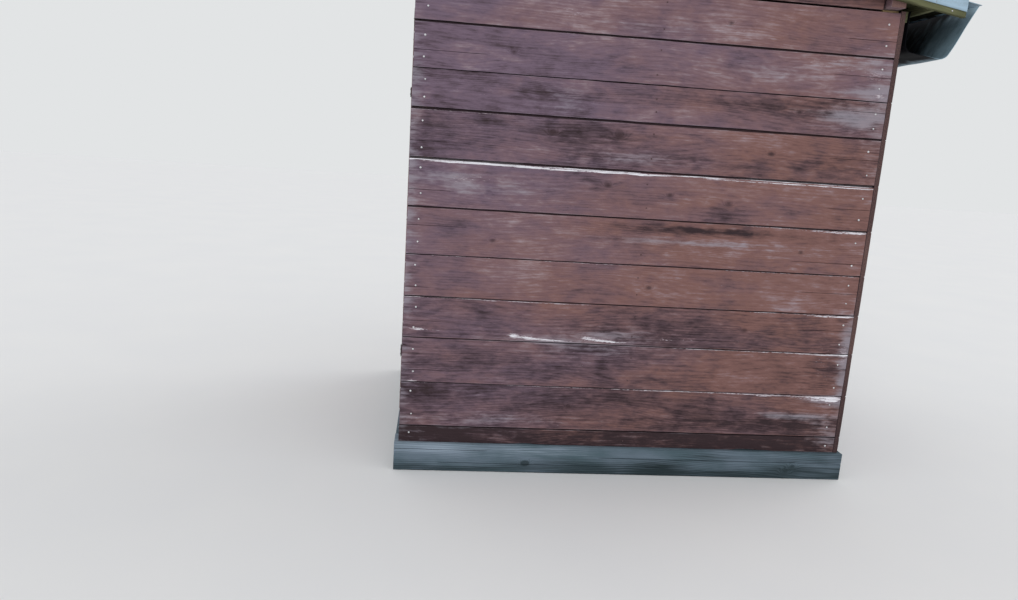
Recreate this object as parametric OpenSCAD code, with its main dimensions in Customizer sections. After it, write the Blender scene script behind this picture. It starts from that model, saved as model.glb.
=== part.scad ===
// Small board-clad outhouse with a mono-pitch metal roof and a wide bent-sheet gutter.
// X runs along the long board wall, Y into the building, Z up from the ground.

/* [Building] */
// Length of the front boards along X
wall_length = 2000; // [1400:10:2800]
// Run of the side boards along Y
wall_depth = 1480; // [1200:10:2400]
// Height of the plinth beams, which is also the floor level
plinth_h = 127; // [80:1:200]
// Width of a plinth beam
plinth_w = 110; // [95:1:150]
// How far the plinth stands out in front of the boards
plinth_proud = 17; // [5:1:30]

/* [Frame] */
// Side of a square corner post, and depth of the studs
post_w = 70; // [60:1:100]
// Width of a stud, a door post or the door head
stud_w = 50; // [38:1:75]
// Width of an eave beam
beam_w = 64; // [50:1:70]
// Height of an eave beam on its uphill side
beam_h = 70; // [50:1:120]
// How far the eave beams stand out past the end walls
beam_reach = 40; // [20:1:120]

/* [Wall boards] */
// Thickness of the wall boards
board_t = 22; // [18:1:32]
// Cover of the ripped board at the bottom
starter_board = 75; // [40:1:120]
// Cover of a wide board
wide_board = 198; // [170:1:220]
// Cover of a middling board
mid_board = 179; // [150:1:200]
// Cover of a narrow board
narrow_board = 155; // [120:1:180]
// Cover of the last board under the eave beams
top_board = 186; // [150:1:220]
// Height of the open joint between two boards
joint_gap = 4; // [2:0.5:8]
// Depth of the joint, down to the lap behind it
joint_depth = 12; // [6:1:16]
// Height of the wider joint below the gable boards
eave_joint = 7; // [4:1:12]
// Space between the gable boards and the eave beam ends
beam_gap = 10; // [4:1:20]

/* [Roof] */
// Fall of the roof towards the gutter side, in degrees
roof_pitch = 9; // [4:0.5:18]
// Thickness of the roof boards, which run down the fall
deck_t = 22; // [16:1:28]
// Cover of one roof board
deck_board = 120; // [90:1:180]
// Overhang of the roof boards past the high wall
high_overhang = 180; // [120:5:350]
// Overhang of the roof boards past the gutter wall
low_overhang = 221; // [180:1:300]
// Distance from the gutter wall to the batten under the low ends of the roof boards
batten_reach = 92; // [50:1:160]
// Thickness of the barge boards and eave battens
edge_t = 22; // [16:1:30]
// Depth of a barge board
barge_h = 61; // [50:1:100]
// Height of an eave batten
batten_h = 32; // [24:1:40]

/* [Roof metal] */
// Thickness of the sheet metal
sheet_t = 2; // [1:0.5:3]
// Height of a rib of the roof sheet
rib_h = 20; // [12:1:35]
// Distance from rib to rib
rib_pitch = 200; // [140:5:300]
// Width of a rib at its foot
rib_foot = 60; // [40:1:90]
// Width of a rib on top
rib_top = 34; // [20:1:38]
// How far the roof sheet runs past the roof boards
sheet_drip = 62; // [20:1:70]
// Bare strip of the barge board below the verge trim
barge_reveal = 23; // [10:1:40]
// Width of the verge trim on top of the sheet
trim_top = 70; // [50:1:120]

/* [Gutter] */
// Height of the rim above the lowest line of the trough
gutter_depth = 236; // [120:1:250]
// Distance from the wall boards to the lowest line
gutter_floor = 205; // [120:1:220]
// Fall of the trough floor away from the wall
gutter_fall = 28; // [10:1:60]
// Lean of the outer side away from upright, in degrees
gutter_flare = 26; // [5:1:40]
// Radius of the two bends
gutter_bend = 45; // [20:1:60]
// How far the rim stands above the lower edge of the eave batten
rim_lift = 41; // [0:1:80]
// Height of the ledger on the wall that carries the sheet
ledger_h = 44; // [30:1:60]
// Thickness of that ledger
ledger_t = 10; // [8:1:25]
// Thickness of a strap under the trough
strap_t = 2; // [2:0.5:6]
// Width of a strap
strap_w = 30; // [20:1:50]
// Number of straps
strap_count = 3; // [2:1:5]

/* [Door] */
// Clear width of the doorway
door_w = 700; // [600:10:800]
// Clear height of the doorway
door_h = 1790; // [1600:10:1850]
// How far the doorway's middle lies behind the middle of the high wall
door_shift = 110; // [0:10:110]
// Thickness of the door boards
leaf_t = 22; // [18:1:32]
// Cover of one door board
leaf_board = 116; // [80:1:180]
// Gap all round the door leaf
leaf_gap = 5; // [3:1:10]
// Width of the casing boards
casing_w = 80; // [60:1:110]
// Thickness of the casing boards
casing_t = 18; // [12:1:25]
// Height of a ledge across the inside of the leaf
ledge_h = 110; // [80:1:140]
// Thickness of the ledges and the brace
ledge_t = 22; // [18:1:30]
// Distance from the leaf's edge to the end of a ledge
ledge_inset = 55; // [40:1:80]
// Length of a strap hinge on the leaf
hinge_len = 380; // [250:10:500]
// Width of a strap hinge at its knuckle
hinge_w = 40; // [30:1:60]
// Width of a strap hinge at its tip
hinge_tip = 16; // [10:1:25]
// Thickness of a strap hinge
hinge_t = 3; // [2:0.5:4]
// Length of the hinge plate on the casing
hinge_plate = 72; // [50:1:78]
// Radius of a hinge knuckle
knuckle_r = 4; // [3.5:0.5:6]
// How far the turned knob stands out from the leaf
knob_reach = 24; // [20:1:40]
// Radius of the knob's head
knob_r = 21; // [16:1:28]
// Radius of the knob's rounded rim, half the height of its head
knob_rim = 6; // [4:0.5:8]
// Radius of the knob's neck
knob_neck = 9; // [6:0.5:12]
// Radius of the collar at the knob's foot
knob_foot = 15; // [12:0.5:20]
// Thickness of that collar
knob_collar = 4; // [2:0.5:6]
// Distance from the turn button's pivot to the knob
handle_inset = 95; // [90:1:150]
// Length of the turn button
button_len = 100; // [80:1:120]
// Height of the turn button
button_h = 32; // [20:1:45]
// Thickness of the turn button
button_t = 16; // [10:1:25]

/* [Floor] */
// Thickness of the floor boards
floor_t = 22; // [18:1:32]
// Cover of one floor board
floor_board = 140; // [90:1:200]
// Height of a floor joist
joist_h = 95; // [60:1:98]
// Thickness of a floor joist
joist_w = 45; // [35:1:60]
// Number of floor joists
joist_count = 4; // [3:1:6]
// Room left round the edge of the floor
floor_gap = 4; // [2:1:10]

/* [Hidden] */

stained = "#7a555a";
sheltered = "#73484c";
bare = "#8a8468";
framing = "#a58d68";
plinth_grey = "#6f7f8c";
roof_metal = "#93abbd";
gutter_metal = "#56707c";
iron = "#4a4744";

// Outer faces of the board walls, each of which covers the ends of the one before it
right_face = wall_length + board_t;
back_face = wall_depth + board_t;
// Board joints that run round all four walls, from the plinth up
courses = [
    starter_board, wide_board, wide_board, mid_board, mid_board, wide_board,
    wide_board, wide_board, narrow_board, mid_board, top_board, wide_board, wide_board
];
joints = [for (i = 0, z = plinth_h; i < len(courses); z = z + courses[i], i = i + 1) z + courses[i]];
lower_courses = 11;
gable_foot = joints[lower_courses - 1];

// Eave beams lie flush with the inner faces of the posts
low_beam_x = wall_length - post_w;
high_beam_x = board_t + post_w - beam_w;
purlin_x = (wall_length - beam_w) / 2;
low_beam_z = gable_foot + eave_joint;
// Heights of the roof's layers, measured plumb
rise = tan(roof_pitch);
deck_v = deck_t / cos(roof_pitch);
barge_v = barge_h / cos(roof_pitch);
rib_v = rib_h / cos(roof_pitch);
sheet_v = sheet_t / cos(roof_pitch);
// Height of the roof boards' underside at x
function under(x) = low_beam_z + beam_h + (low_beam_x - x) * rise;
high_beam_z = under(high_beam_x) - beam_h;

// Roof ends along X, and the two planes that the barge boards stand against
roof_left = -high_overhang;
roof_right = right_face + low_overhang;
batten_x = right_face + batten_reach;
batten_z = under(batten_x + edge_t) - batten_h;
barge_front_y = -beam_reach;
barge_back_y = back_face + beam_reach;

// Gutter section in X and Z: the wall side hangs from the ledger
ledger_face = right_face + ledger_t;
ledger_top = low_beam_z - joint_gap / 2;
rim_z = batten_z + rim_lift;
trough_low = rim_z - gutter_depth;
trough_corner = [right_face + gutter_floor, trough_low];
inner_corner = [ledger_face, trough_low + gutter_fall];
rim_x = trough_corner[0] + gutter_depth * tan(gutter_flare);

// Doorway in the high wall
door_y0 = (back_face - door_w) / 2 + door_shift;
door_y1 = door_y0 + door_w;
door_top = plinth_h + door_h;
high_wall_top = under(board_t) - joint_gap;

// The stored origin is below the middle of the whole outline
centre_x = (roof_left + rim_x) / 2;
centre_y = back_face / 2;
eps = 1;

// Places the whole building with its origin at the middle of its outline on the ground
module placed() {
    translate([-centre_x, -centre_y, 0]) children();
}

// A plate with its outline in X and Z, from y0 to y1
module upright(y0, y1) {
    translate([0, y1, 0]) rotate([90, 0, 0]) linear_extrude(y1 - y0) children();
}

// A strip that follows the roof fall, between two heights above the roof boards' underside
module slope_strip(x0, x1, low, high) {
    polygon([
        [x0, under(x0) + low], [x1, under(x1) + low],
        [x1, under(x1) + high], [x0, under(x0) + high]
    ]);
}

// Boards laid level in a wall: x along the wall, y in from the outer face
module level_boards(length, foot, head) {
    difference() {
        translate([0, 0, foot]) cube([length, board_t, head - foot]);
        for (z = joints)
            if (z > foot + joint_gap && z < head - joint_gap)
                translate([-eps, -eps, z - joint_gap / 2])
                    cube([length + 2 * eps, joint_depth + eps, joint_gap]);
    }
}

// Boards above the eave line of an end wall, cut to the roof fall
module gable(x0, y0, groove_y) {
    beam_side = high_beam_x + beam_w + beam_gap;
    notch_z = high_beam_z - beam_gap;
    x1 = low_beam_x - beam_gap;
    foot = gable_foot + eave_joint / 2;
    difference() {
        upright(y0, y0 + board_t)
            polygon([
                [x0, foot], [x1, foot], [x1, under(x1) - joint_gap],
                [beam_side, under(beam_side) - joint_gap], [beam_side, notch_z], [x0, notch_z]
            ]);
        for (z = joints)
            if (z > foot + joint_gap)
                translate([x0 - eps, groove_y, z - joint_gap / 2])
                    cube([x1 - x0 + 2 * eps, joint_depth + eps, joint_gap]);
    }
}

// Plinth: two long beams with two short ones between them
module plinth_beam(length, depth) {
    cube([length, depth, plinth_h]);
}

module sill_front() {
    color(plinth_grey)
        translate([-plinth_proud, -plinth_proud, 0])
            plinth_beam(right_face + 2 * plinth_proud, plinth_w);
}

module sill_back() {
    color(plinth_grey)
        translate([-plinth_proud, back_face + plinth_proud - plinth_w, 0])
            plinth_beam(right_face + 2 * plinth_proud, plinth_w);
}

short_sill_y = plinth_w - plinth_proud;
short_sill_run = back_face - 2 * short_sill_y;

module sill_left() {
    color(plinth_grey)
        translate([-plinth_proud, short_sill_y, 0]) plinth_beam(plinth_w, short_sill_run);
}

module sill_right() {
    color(plinth_grey)
        translate([right_face + plinth_proud - plinth_w, short_sill_y, 0])
            plinth_beam(plinth_w, short_sill_run);
}

// Floor: joists butt between the plinth beams, and the boards lie level with the plinth top
floor_x0 = plinth_w - plinth_proud;
floor_x1 = right_face - floor_x0;

module floor_joists() {
    step = (floor_x1 - floor_x0 - joist_w) / (joist_count + 1);
    color(framing)
        for (i = [1 : joist_count])
            translate([floor_x0 + i * step, short_sill_y, plinth_h - floor_t - joist_h])
                cube([joist_w, short_sill_run, joist_h]);
}

module floor_boards() {
    x0 = floor_x0 + floor_gap;
    length = floor_x1 - floor_x0 - 2 * floor_gap;
    run = short_sill_run - 2 * floor_gap;
    color(framing)
        difference() {
            translate([x0, short_sill_y + floor_gap, plinth_h - floor_t]) cube([length, run, floor_t]);
            for (y = [floor_board : floor_board : run - floor_gap])
                translate([x0 - eps, short_sill_y + floor_gap + y, plinth_h - floor_t / 2])
                    cube([length + 2 * eps, joint_gap, floor_t]);
        }
}

// Posts stand on the plinth and carry the eave beams
module corner_post(x, y, head) {
    translate([x, y, plinth_h]) cube([post_w, post_w, head - plinth_h]);
}

left_post_x = board_t;
right_post_x = wall_length - post_w;
front_post_y = board_t;
back_post_y = wall_depth - post_w;

module post_front_left() {
    color(framing) corner_post(left_post_x, front_post_y, high_beam_z);
}

module post_front_right() {
    color(framing) corner_post(right_post_x, front_post_y, low_beam_z);
}

module post_back_left() {
    color(framing) corner_post(left_post_x, back_post_y, high_beam_z);
}

module post_back_right() {
    color(framing) corner_post(right_post_x, back_post_y, low_beam_z);
}

// Stud in the middle of an end wall, which carries the purlin
module end_stud(y) {
    translate([(wall_length - stud_w) / 2, y, plinth_h])
        cube([stud_w, post_w, under(purlin_x) - beam_h - plinth_h]);
}

module front_stud() {
    color(framing) end_stud(front_post_y);
}

module back_stud() {
    color(framing) end_stud(back_post_y);
}

module right_stud() {
    color(framing)
        translate([right_post_x, (back_face - stud_w) / 2, plinth_h])
            cube([post_w, stud_w, low_beam_z - plinth_h]);
}

module door_posts() {
    color(framing)
        for (y = [door_y0 - stud_w, door_y1])
            translate([left_post_x, y, plinth_h])
                cube([post_w, stud_w, high_beam_z - plinth_h]);
}

module door_head() {
    color(framing)
        translate([left_post_x, door_y0, door_top]) cube([post_w, door_w, stud_w]);
}

// A roof beam along Y, its top bevelled to the fall
module roof_beam(x, y0, y1) {
    foot = under(x) - beam_h;
    upright(y0, y1)
        polygon([[x, foot], [x + beam_w, foot], [x + beam_w, under(x + beam_w)], [x, under(x)]]);
}

// Eave beams run past both end walls
module eave_beam_low() {
    color(sheltered) roof_beam(low_beam_x, barge_front_y, barge_back_y);
}

module eave_beam_high() {
    color(sheltered) roof_beam(high_beam_x, barge_front_y, barge_back_y);
}

module roof_purlin() {
    color(framing) roof_beam(purlin_x, board_t, wall_depth);
}

// Board walls, turned about the building like a pinwheel
module front_wall() {
    color(stained) level_boards(wall_length, plinth_h, gable_foot - eave_joint / 2);
}

module right_wall() {
    color(stained)
        translate([right_face, 0, 0]) rotate([0, 0, 90])
            level_boards(wall_depth, plinth_h, ledger_top);
}

module back_wall() {
    color(stained)
        translate([right_face, back_face, 0]) rotate([0, 0, 180])
            level_boards(wall_length, plinth_h, gable_foot - eave_joint / 2);
}

// A stretch of the high wall from y0 to y1
module high_wall(y0, y1, foot) {
    translate([0, y1, 0]) rotate([0, 0, -90]) level_boards(y1 - y0, foot, high_wall_top);
}

module left_wall_front() {
    color(stained) high_wall(board_t, door_y0, plinth_h);
}

module left_wall_back() {
    color(stained) high_wall(door_y1, back_face, plinth_h);
}

module left_wall_over_door() {
    color(stained) high_wall(door_y0, door_y1, door_top);
}

module front_gable() {
    color(sheltered) gable(0, 0, -eps);
}

module back_gable() {
    color(sheltered) gable(board_t, wall_depth, back_face - joint_depth);
}

// Roof boards run down the fall from eave to eave, with open joints on their underside
module roof_boards() {
    color(bare)
        difference() {
            upright(barge_front_y, barge_back_y) slope_strip(roof_left, roof_right, 0, deck_v);
            for (y = [barge_front_y + deck_board : deck_board : barge_back_y - joint_gap])
                upright(y, y + joint_gap)
                    slope_strip(roof_left - eps, roof_right + eps, -eps, deck_v / 2);
        }
}

// Barge boards cover the sides of the outermost roof boards
module barge() {
    slope_strip(roof_left, roof_right, deck_v - barge_v, deck_v);
}

module barge_front() {
    color(bare) upright(barge_front_y - edge_t, barge_front_y) barge();
}

module barge_back() {
    color(bare) upright(barge_back_y, barge_back_y + edge_t) barge();
}

// Eave battens under the ends of the roof boards, between the barge boards
module eave_batten(x) {
    foot = under(x + edge_t) - batten_h;
    upright(barge_front_y, barge_back_y)
        polygon([[x, foot], [x + edge_t, foot], [x + edge_t, under(x + edge_t)], [x, under(x)]]);
}

module eave_batten_low() {
    color(bare) eave_batten(batten_x);
}

module eave_batten_high() {
    color(bare) eave_batten(roof_left);
}

// Section of the ribbed roof sheet across the fall, with a rib near each verge
sheet_run = barge_back_y - barge_front_y + 2 * edge_t;
rib_count = floor((sheet_run - rib_foot) / rib_pitch);
first_rib = (sheet_run - rib_count * rib_pitch) / 2;
function rib_points(y, z) = [
    [y - rib_foot / 2, z], [y - rib_top / 2, z + rib_h],
    [y + rib_top / 2, z + rib_h], [y + rib_foot / 2, z]
];
function sheet_line(z) = concat(
    [[0, z]],
    [for (i = [0 : rib_count]) each rib_points(first_rib + i * rib_pitch, z)],
    [[sheet_run, z]]
);
function backwards(line) = [for (i = [len(line) - 1 : -1 : 0]) line[i]];

module roof_sheet() {
    x0 = roof_left / cos(roof_pitch) + sheet_t + rib_h * rise;
    x1 = (roof_right + sheet_drip) / cos(roof_pitch);
    color(roof_metal)
        translate([0, barge_front_y - edge_t, under(0) + deck_v])
            rotate([0, roof_pitch, 0])
                translate([x0, 0, 0]) rotate([90, 0, 90])
                    linear_extrude(x1 - x0)
                        polygon(concat(sheet_line(0), backwards(sheet_line(sheet_t))));
}

// Verge trims: a face down the barge board and a flange over the outer rib
trim_low = deck_v - barge_v + barge_reveal;
trim_high = deck_v + rib_v + sheet_v;

module verge_trim(face_y, top_y) {
    upright(face_y, face_y + sheet_t)
        slope_strip(roof_left, roof_right, trim_low, trim_high + sheet_v);
    upright(top_y, top_y + trim_top)
        slope_strip(roof_left, roof_right, trim_high, trim_high + sheet_v);
}

module verge_trim_front() {
    face_y = barge_front_y - edge_t - sheet_t;
    color(roof_metal) verge_trim(face_y, face_y);
}

module verge_trim_back() {
    face_y = barge_back_y + edge_t;
    color(roof_metal) verge_trim(face_y, face_y + sheet_t - trim_top);
}

// Trough section as one bent line: wall flange, bend, floor, bend, leaning side
bend_steps = 8;
// Centre and sweep of the bends, from the directions of the straight stretches
floor_angle = -atan2(inner_corner[1] - trough_corner[1], trough_corner[0] - inner_corner[0]);
side_angle = 90 - gutter_flare;
function bend(corner, from, to, out) =
    let (
        turn = to - from,
        reach = gutter_bend * tan(turn / 2),
        start = corner - reach * [cos(from), sin(from)],
        centre = start + gutter_bend * [-sin(from), cos(from)]
    )
    [for (i = [0 : bend_steps])
        let (a = from + turn * i / bend_steps)
        centre + (gutter_bend + out) * [sin(a), -cos(a)]];
function trough_line(out) = concat(
    [[ledger_face - out, ledger_top]],
    bend(inner_corner, -90, floor_angle, out),
    bend(trough_corner, floor_angle, side_angle, out),
    [[rim_x, rim_z] + out * [sin(side_angle), -cos(side_angle)]]
);

module trough_band(inner, outer) {
    polygon(concat(trough_line(outer), backwards(trough_line(inner))));
}

module gutter() {
    color(gutter_metal)
        upright(0, back_face) trough_band(-strap_t - sheet_t, -strap_t);
}

// Straps run under the trough and are nailed to the ledger behind it
module gutter_straps() {
    step = back_face / (strap_count + 1);
    color(iron)
        for (i = [1 : strap_count])
            upright(i * step - strap_w / 2, i * step + strap_w / 2)
                trough_band(-strap_t, 0);
}

// Ledger along the top of the gutter wall
module gutter_ledger() {
    color(bare)
        translate([right_face, 0, ledger_top - ledger_h]) cube([ledger_t, back_face, ledger_h]);
}

// Door of upright boards, flush with its casing
leaf_y0 = door_y0 + leaf_gap;
leaf_run = door_w - 2 * leaf_gap;
leaf_foot = plinth_h + leaf_gap;
leaf_head = door_top - leaf_gap;

module door_leaf() {
    color(stained)
        difference() {
            translate([-casing_t, leaf_y0, leaf_foot]) cube([leaf_t, leaf_run, leaf_head - leaf_foot]);
            for (y = [leaf_board : leaf_board : leaf_run - leaf_gap])
                translate([-casing_t - eps, leaf_y0 + y, leaf_foot - eps])
                    cube([leaf_t / 2 + eps, joint_gap, leaf_head - leaf_foot + 2 * eps]);
        }
}

low_ledge_z = leaf_foot + 2 * ledge_h;
high_ledge_z = leaf_head - 3 * ledge_h;

// Two ledges and a brace between their middles, clear of the door posts
module door_ledges() {
    x = leaf_t - casing_t;
    y0 = leaf_y0 + ledge_inset;
    run = leaf_run - 2 * ledge_inset;
    color(framing) {
        for (z = [low_ledge_z, high_ledge_z])
            translate([x, y0, z]) cube([ledge_t, run, ledge_h]);
        translate([x, y0, ledge_h / 2]) rotate([90, 0, 90])
            linear_extrude(ledge_t)
                polygon([
                    [0, low_ledge_z], [ledge_h, low_ledge_z],
                    [run, high_ledge_z], [run - ledge_h, high_ledge_z]
                ]);
    }
}

// Strap hinge: a plate on the casing, a knuckle over the gap and a tapering strap on the leaf
module strap_hinge(z) {
    knuckle_y = leaf_y0 - leaf_gap / 2;
    translate([-casing_t - hinge_t, knuckle_y - hinge_plate, z]) cube([hinge_t, hinge_plate, hinge_w]);
    translate([-casing_t, knuckle_y, z + hinge_w / 2]) rotate([0, -90, 0])
        linear_extrude(hinge_t)
            polygon([
                [-hinge_w / 2, 0], [hinge_w / 2, 0],
                [hinge_tip / 2, hinge_len], [-hinge_tip / 2, hinge_len]
            ]);
    translate([-casing_t - knuckle_r, knuckle_y, z]) cylinder(h = hinge_w, r = knuckle_r, $fn = 24);
}

module door_hinges() {
    color(iron)
        for (z = [low_ledge_z, high_ledge_z])
            strap_hinge(z + (ledge_h - hinge_w) / 2);
}

// Turned knob on the leaf and wooden turn button over the gap, at half the doorway's height
mid_z = plinth_h + door_h / 2;
button_y = door_y1 - leaf_gap / 2;
handle_y = button_y - handle_inset;

// Half section of the knob: collar, neck, and a head with a rounded rim
module knob_outline() {
    square([knob_foot, knob_collar]);
    square([knob_neck, knob_reach]);
    translate([0, knob_reach - 2 * knob_rim]) square([knob_r - knob_rim, 2 * knob_rim]);
    translate([knob_r - knob_rim, knob_reach - knob_rim]) circle(r = knob_rim, $fn = 32);
}

module door_handle() {
    color(bare)
        translate([-casing_t, handle_y, mid_z]) rotate([0, -90, 0])
            rotate_extrude($fn = 48) knob_outline();
}

module door_button() {
    color(bare)
        translate([-casing_t - button_t, button_y - button_len / 2, mid_z - button_h / 2])
            cube([button_t, button_len, button_h]);
}

module door_casing() {
    color(sheltered) {
        for (y = [door_y0 - casing_w, door_y1])
            translate([-casing_t, y, plinth_h]) cube([casing_t, casing_w, door_h]);
        translate([-casing_t, door_y0 - casing_w, door_top])
            cube([casing_t, door_w + 2 * casing_w, casing_w]);
    }
}

placed() sill_front();
placed() sill_back();
placed() sill_left();
placed() sill_right();
placed() floor_joists();
placed() floor_boards();
placed() post_front_left();
placed() post_front_right();
placed() post_back_left();
placed() post_back_right();
placed() front_stud();
placed() back_stud();
placed() right_stud();
placed() door_posts();
placed() door_head();
placed() eave_beam_low();
placed() eave_beam_high();
placed() roof_purlin();
placed() front_wall();
placed() back_wall();
placed() right_wall();
placed() left_wall_front();
placed() left_wall_back();
placed() left_wall_over_door();
placed() front_gable();
placed() back_gable();
placed() roof_boards();
placed() barge_front();
placed() barge_back();
placed() eave_batten_low();
placed() eave_batten_high();
placed() roof_sheet();
placed() verge_trim_front();
placed() verge_trim_back();
placed() gutter_ledger();
placed() gutter();
placed() gutter_straps();
placed() door_leaf();
placed() door_ledges();
placed() door_hinges();
placed() door_handle();
placed() door_button();
placed() door_casing();
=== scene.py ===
import math

import bpy
import numpy as np
from mathutils import Matrix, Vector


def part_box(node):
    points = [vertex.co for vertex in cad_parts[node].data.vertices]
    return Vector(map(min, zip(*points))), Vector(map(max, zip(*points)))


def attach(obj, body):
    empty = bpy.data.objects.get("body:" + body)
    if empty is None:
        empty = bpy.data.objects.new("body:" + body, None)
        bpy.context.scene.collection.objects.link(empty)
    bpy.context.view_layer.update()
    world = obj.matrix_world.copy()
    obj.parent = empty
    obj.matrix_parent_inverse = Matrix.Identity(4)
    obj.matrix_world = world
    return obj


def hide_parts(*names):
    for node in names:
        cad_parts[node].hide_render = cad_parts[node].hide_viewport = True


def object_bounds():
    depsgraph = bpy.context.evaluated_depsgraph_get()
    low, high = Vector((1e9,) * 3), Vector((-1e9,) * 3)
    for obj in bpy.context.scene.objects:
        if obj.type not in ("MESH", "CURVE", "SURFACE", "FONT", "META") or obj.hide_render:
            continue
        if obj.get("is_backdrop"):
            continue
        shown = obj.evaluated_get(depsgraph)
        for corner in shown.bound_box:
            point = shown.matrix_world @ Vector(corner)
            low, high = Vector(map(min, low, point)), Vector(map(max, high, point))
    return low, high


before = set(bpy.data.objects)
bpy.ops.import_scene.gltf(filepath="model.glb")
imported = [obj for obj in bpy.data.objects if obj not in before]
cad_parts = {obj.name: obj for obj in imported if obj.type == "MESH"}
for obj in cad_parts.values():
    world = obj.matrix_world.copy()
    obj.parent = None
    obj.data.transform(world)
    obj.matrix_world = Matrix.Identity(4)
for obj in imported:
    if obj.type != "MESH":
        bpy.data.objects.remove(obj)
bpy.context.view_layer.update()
print("frame loaded, nodes:", len(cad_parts))

# Sizes here are in metres from the left end of the front boards (x), their face (y) and the ground (z)
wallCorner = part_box("front_wall")[0]
home = np.array([wallCorner.x, wallCorner.y, 0.0])
toRight, toLeft, toBack, toFront, upward = (1, 0, 0), (-1, 0, 0), (0, 1, 0), (0, -1, 0), (0, 0, 1)

# The main sizes of the building, as the frame has them; clear is how far its walls stay below the roof boards
shed = {
    "front": 2.0, "side": 1.48, "board": 0.022, "plinth": 0.127, "gap": 0.0045, "clear": 0.004,
    "courses": (0.075, 0.198, 0.198, 0.179, 0.179, 0.198, 0.198, 0.198, 0.155, 0.179, 0.186, 0.198, 0.198),
    "beamX": 1.93, "beamTop": 2.147, "pitch": 9.0, "eaveJoint": 0.007,
}
rightFace = shed["front"] + shed["board"]
backFace = shed["side"] + shed["board"]
seams = shed["plinth"] + np.cumsum(shed["courses"])
eaveTop = seams[10] - shed["eaveJoint"] / 2  # top edge of the front wall's highest board
slope = math.radians(shed["pitch"])
rise = math.tan(slope)


# Height of the roof boards' underside above a point x of the front wall
def under(x):
    return shed["beamTop"] + (shed["beamX"] - x) * rise


# Lowest and highest corner of a node of the frame
def nodeBox(node):
    return [np.array(corner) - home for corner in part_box(node)]


# A colour as written on screen, 0 to 255, turned into the linear one that a shader takes
def tone(red, green, blue):
    parts = [c / 255 for c in (red, green, blue)]
    return tuple(c / 12.92 if c < 0.04045 else ((c + 0.055) / 1.055) ** 2.4 for c in parts) + (1.0,)


# The colours of one finish, by name
def palette(**colours):
    return {name: tone(*colour) for name, colour in colours.items()}


# One socket of a material. Sums and products of sockets add Math nodes; node() adds any other node
class Wire:
    def __init__(self, tree, socket=None):
        self.tree, self.socket = tree, socket

    # Wires are linked to the sockets that they are named for, numbers and colours are set on them
    def plug(self, inputs, values):
        for key, value in values.items():
            if isinstance(value, Wire):
                self.tree.links.new(value.socket, inputs[key])
            else:
                inputs[key].default_value = value

    def node(self, kind, settings=None, sockets=None, out=0):
        made = self.tree.nodes.new("ShaderNode" + kind)
        for key, value in (settings or {}).items():
            setattr(made, key, value)
        self.plug(made.inputs, sockets or {})
        return Wire(self.tree, made.outputs[out])

    def math(self, operation, *values):
        return self.node("Math", {"operation": operation}, dict(enumerate((self,) + values)))

    def __add__(self, other):
        return self.math("ADD", other)

    def __sub__(self, other):
        return self.math("SUBTRACT", other)

    def __rsub__(self, other):
        return self.node("Math", {"operation": "SUBTRACT"}, {0: other, 1: self})

    def __mul__(self, other):
        return self.math("MULTIPLY", other)

    __radd__, __rmul__ = __add__, __mul__

    # 0 below low, 1 above high, eased between
    def ease(self, low, high):
        return self.node("MapRange", {"interpolation_type": "SMOOTHSTEP"}, {0: self, 1: low, 2: high})

    # Up and down once for every whole number that this value passes
    def rings(self, low):
        return (self * (2 * math.pi)).math("SINE").ease(low, 1.0)

    # The second colour over the first, by this value
    def mix(self, first, second):
        return self.node("Mix", {"data_type": "RGBA", "clamp_factor": True},
                         {0: self, 6: first, 7: second}, 2)

    # A vector times three numbers
    def stretch(self, *by):
        return self.node("VectorMath", {"operation": "MULTIPLY"}, {0: self, 1: by})

    def noise(self, detail=2.0, rough=0.5, scale=1.0, warp=0.0):
        return self.node("TexNoise", {"noise_dimensions": "3D"},
                         {"Vector": self, "Scale": scale, "Detail": detail, "Roughness": rough,
                          "Distortion": warp})

    # Values that the mesh carries, by name
    def fields(self, *names):
        return [self.node("Attribute", {"attribute_name": name}, {}, "Fac") for name in names]


# An empty material; gives back a wire to build from and a function that plugs the results into its shader
def startMaterial(name):
    material = bpy.data.materials.new(name)
    material.use_nodes = True
    wire = Wire(material.node_tree)
    shader = material.node_tree.nodes["Principled BSDF"]

    def finish(colour, roughness, height=None, bump=0.001, metallic=0.0, specular=0.5):
        values = {"Base Color": colour, "Roughness": roughness, "Metallic": metallic,
                  "Specular IOR Level": specular}
        if height is not None:
            values["Normal"] = wire.node("Bump", {}, {"Height": height, "Strength": 1.0, "Distance": bump})
        wire.plug(shader.inputs, values)
        return material

    return wire, finish


# Where the camera stands and how it is turned, in degrees
view = {"place": (0.116, -3.166, 1.404), "yaw": -5.944, "pitch": -11.121, "roll": -3.794, "lens": 26.876,
        "sensor": 36.0, "nearest": 0.05}


def setCamera():
    camera = bpy.data.objects.new("viewpoint", bpy.data.cameras.new("viewpoint"))
    bpy.context.scene.collection.objects.link(camera)
    camera.data.lens, camera.data.sensor_width = view["lens"], view["sensor"]
    camera.data.clip_start = view["nearest"]
    placed = Matrix.Translation(np.array(view["place"]) + home)
    for angle, axis in ((view["yaw"], "Z"), (view["pitch"], "X"), (view["roll"], "Y"), (90, "X")):
        placed = placed @ Matrix.Rotation(math.radians(angle), 4, axis)
    camera.matrix_world = placed
    bpy.context.scene.camera = camera


# The floor reaches far out and lies just below the building. The room lights evenly, and what the camera
# sees of it has the tone of the far floor. Each lamp has a direction towards it, a width in degrees and a
# strength.
stage = {
    "reach": 30.0, "drop": 0.0005, "floor": (tone(226, 227, 228), tone(232, 232, 231)), "dull": 0.9,
    "room": tone(229, 230, 232), "backdrop": tone(226, 228, 229),
    "lamps": {"skyLamp": ((-4.9, -13.0, 5.9), 35.0, 0.89), "sideLamp": ((10.0, 4.7, 6.8), 40.0, 0.40)},
}


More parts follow.
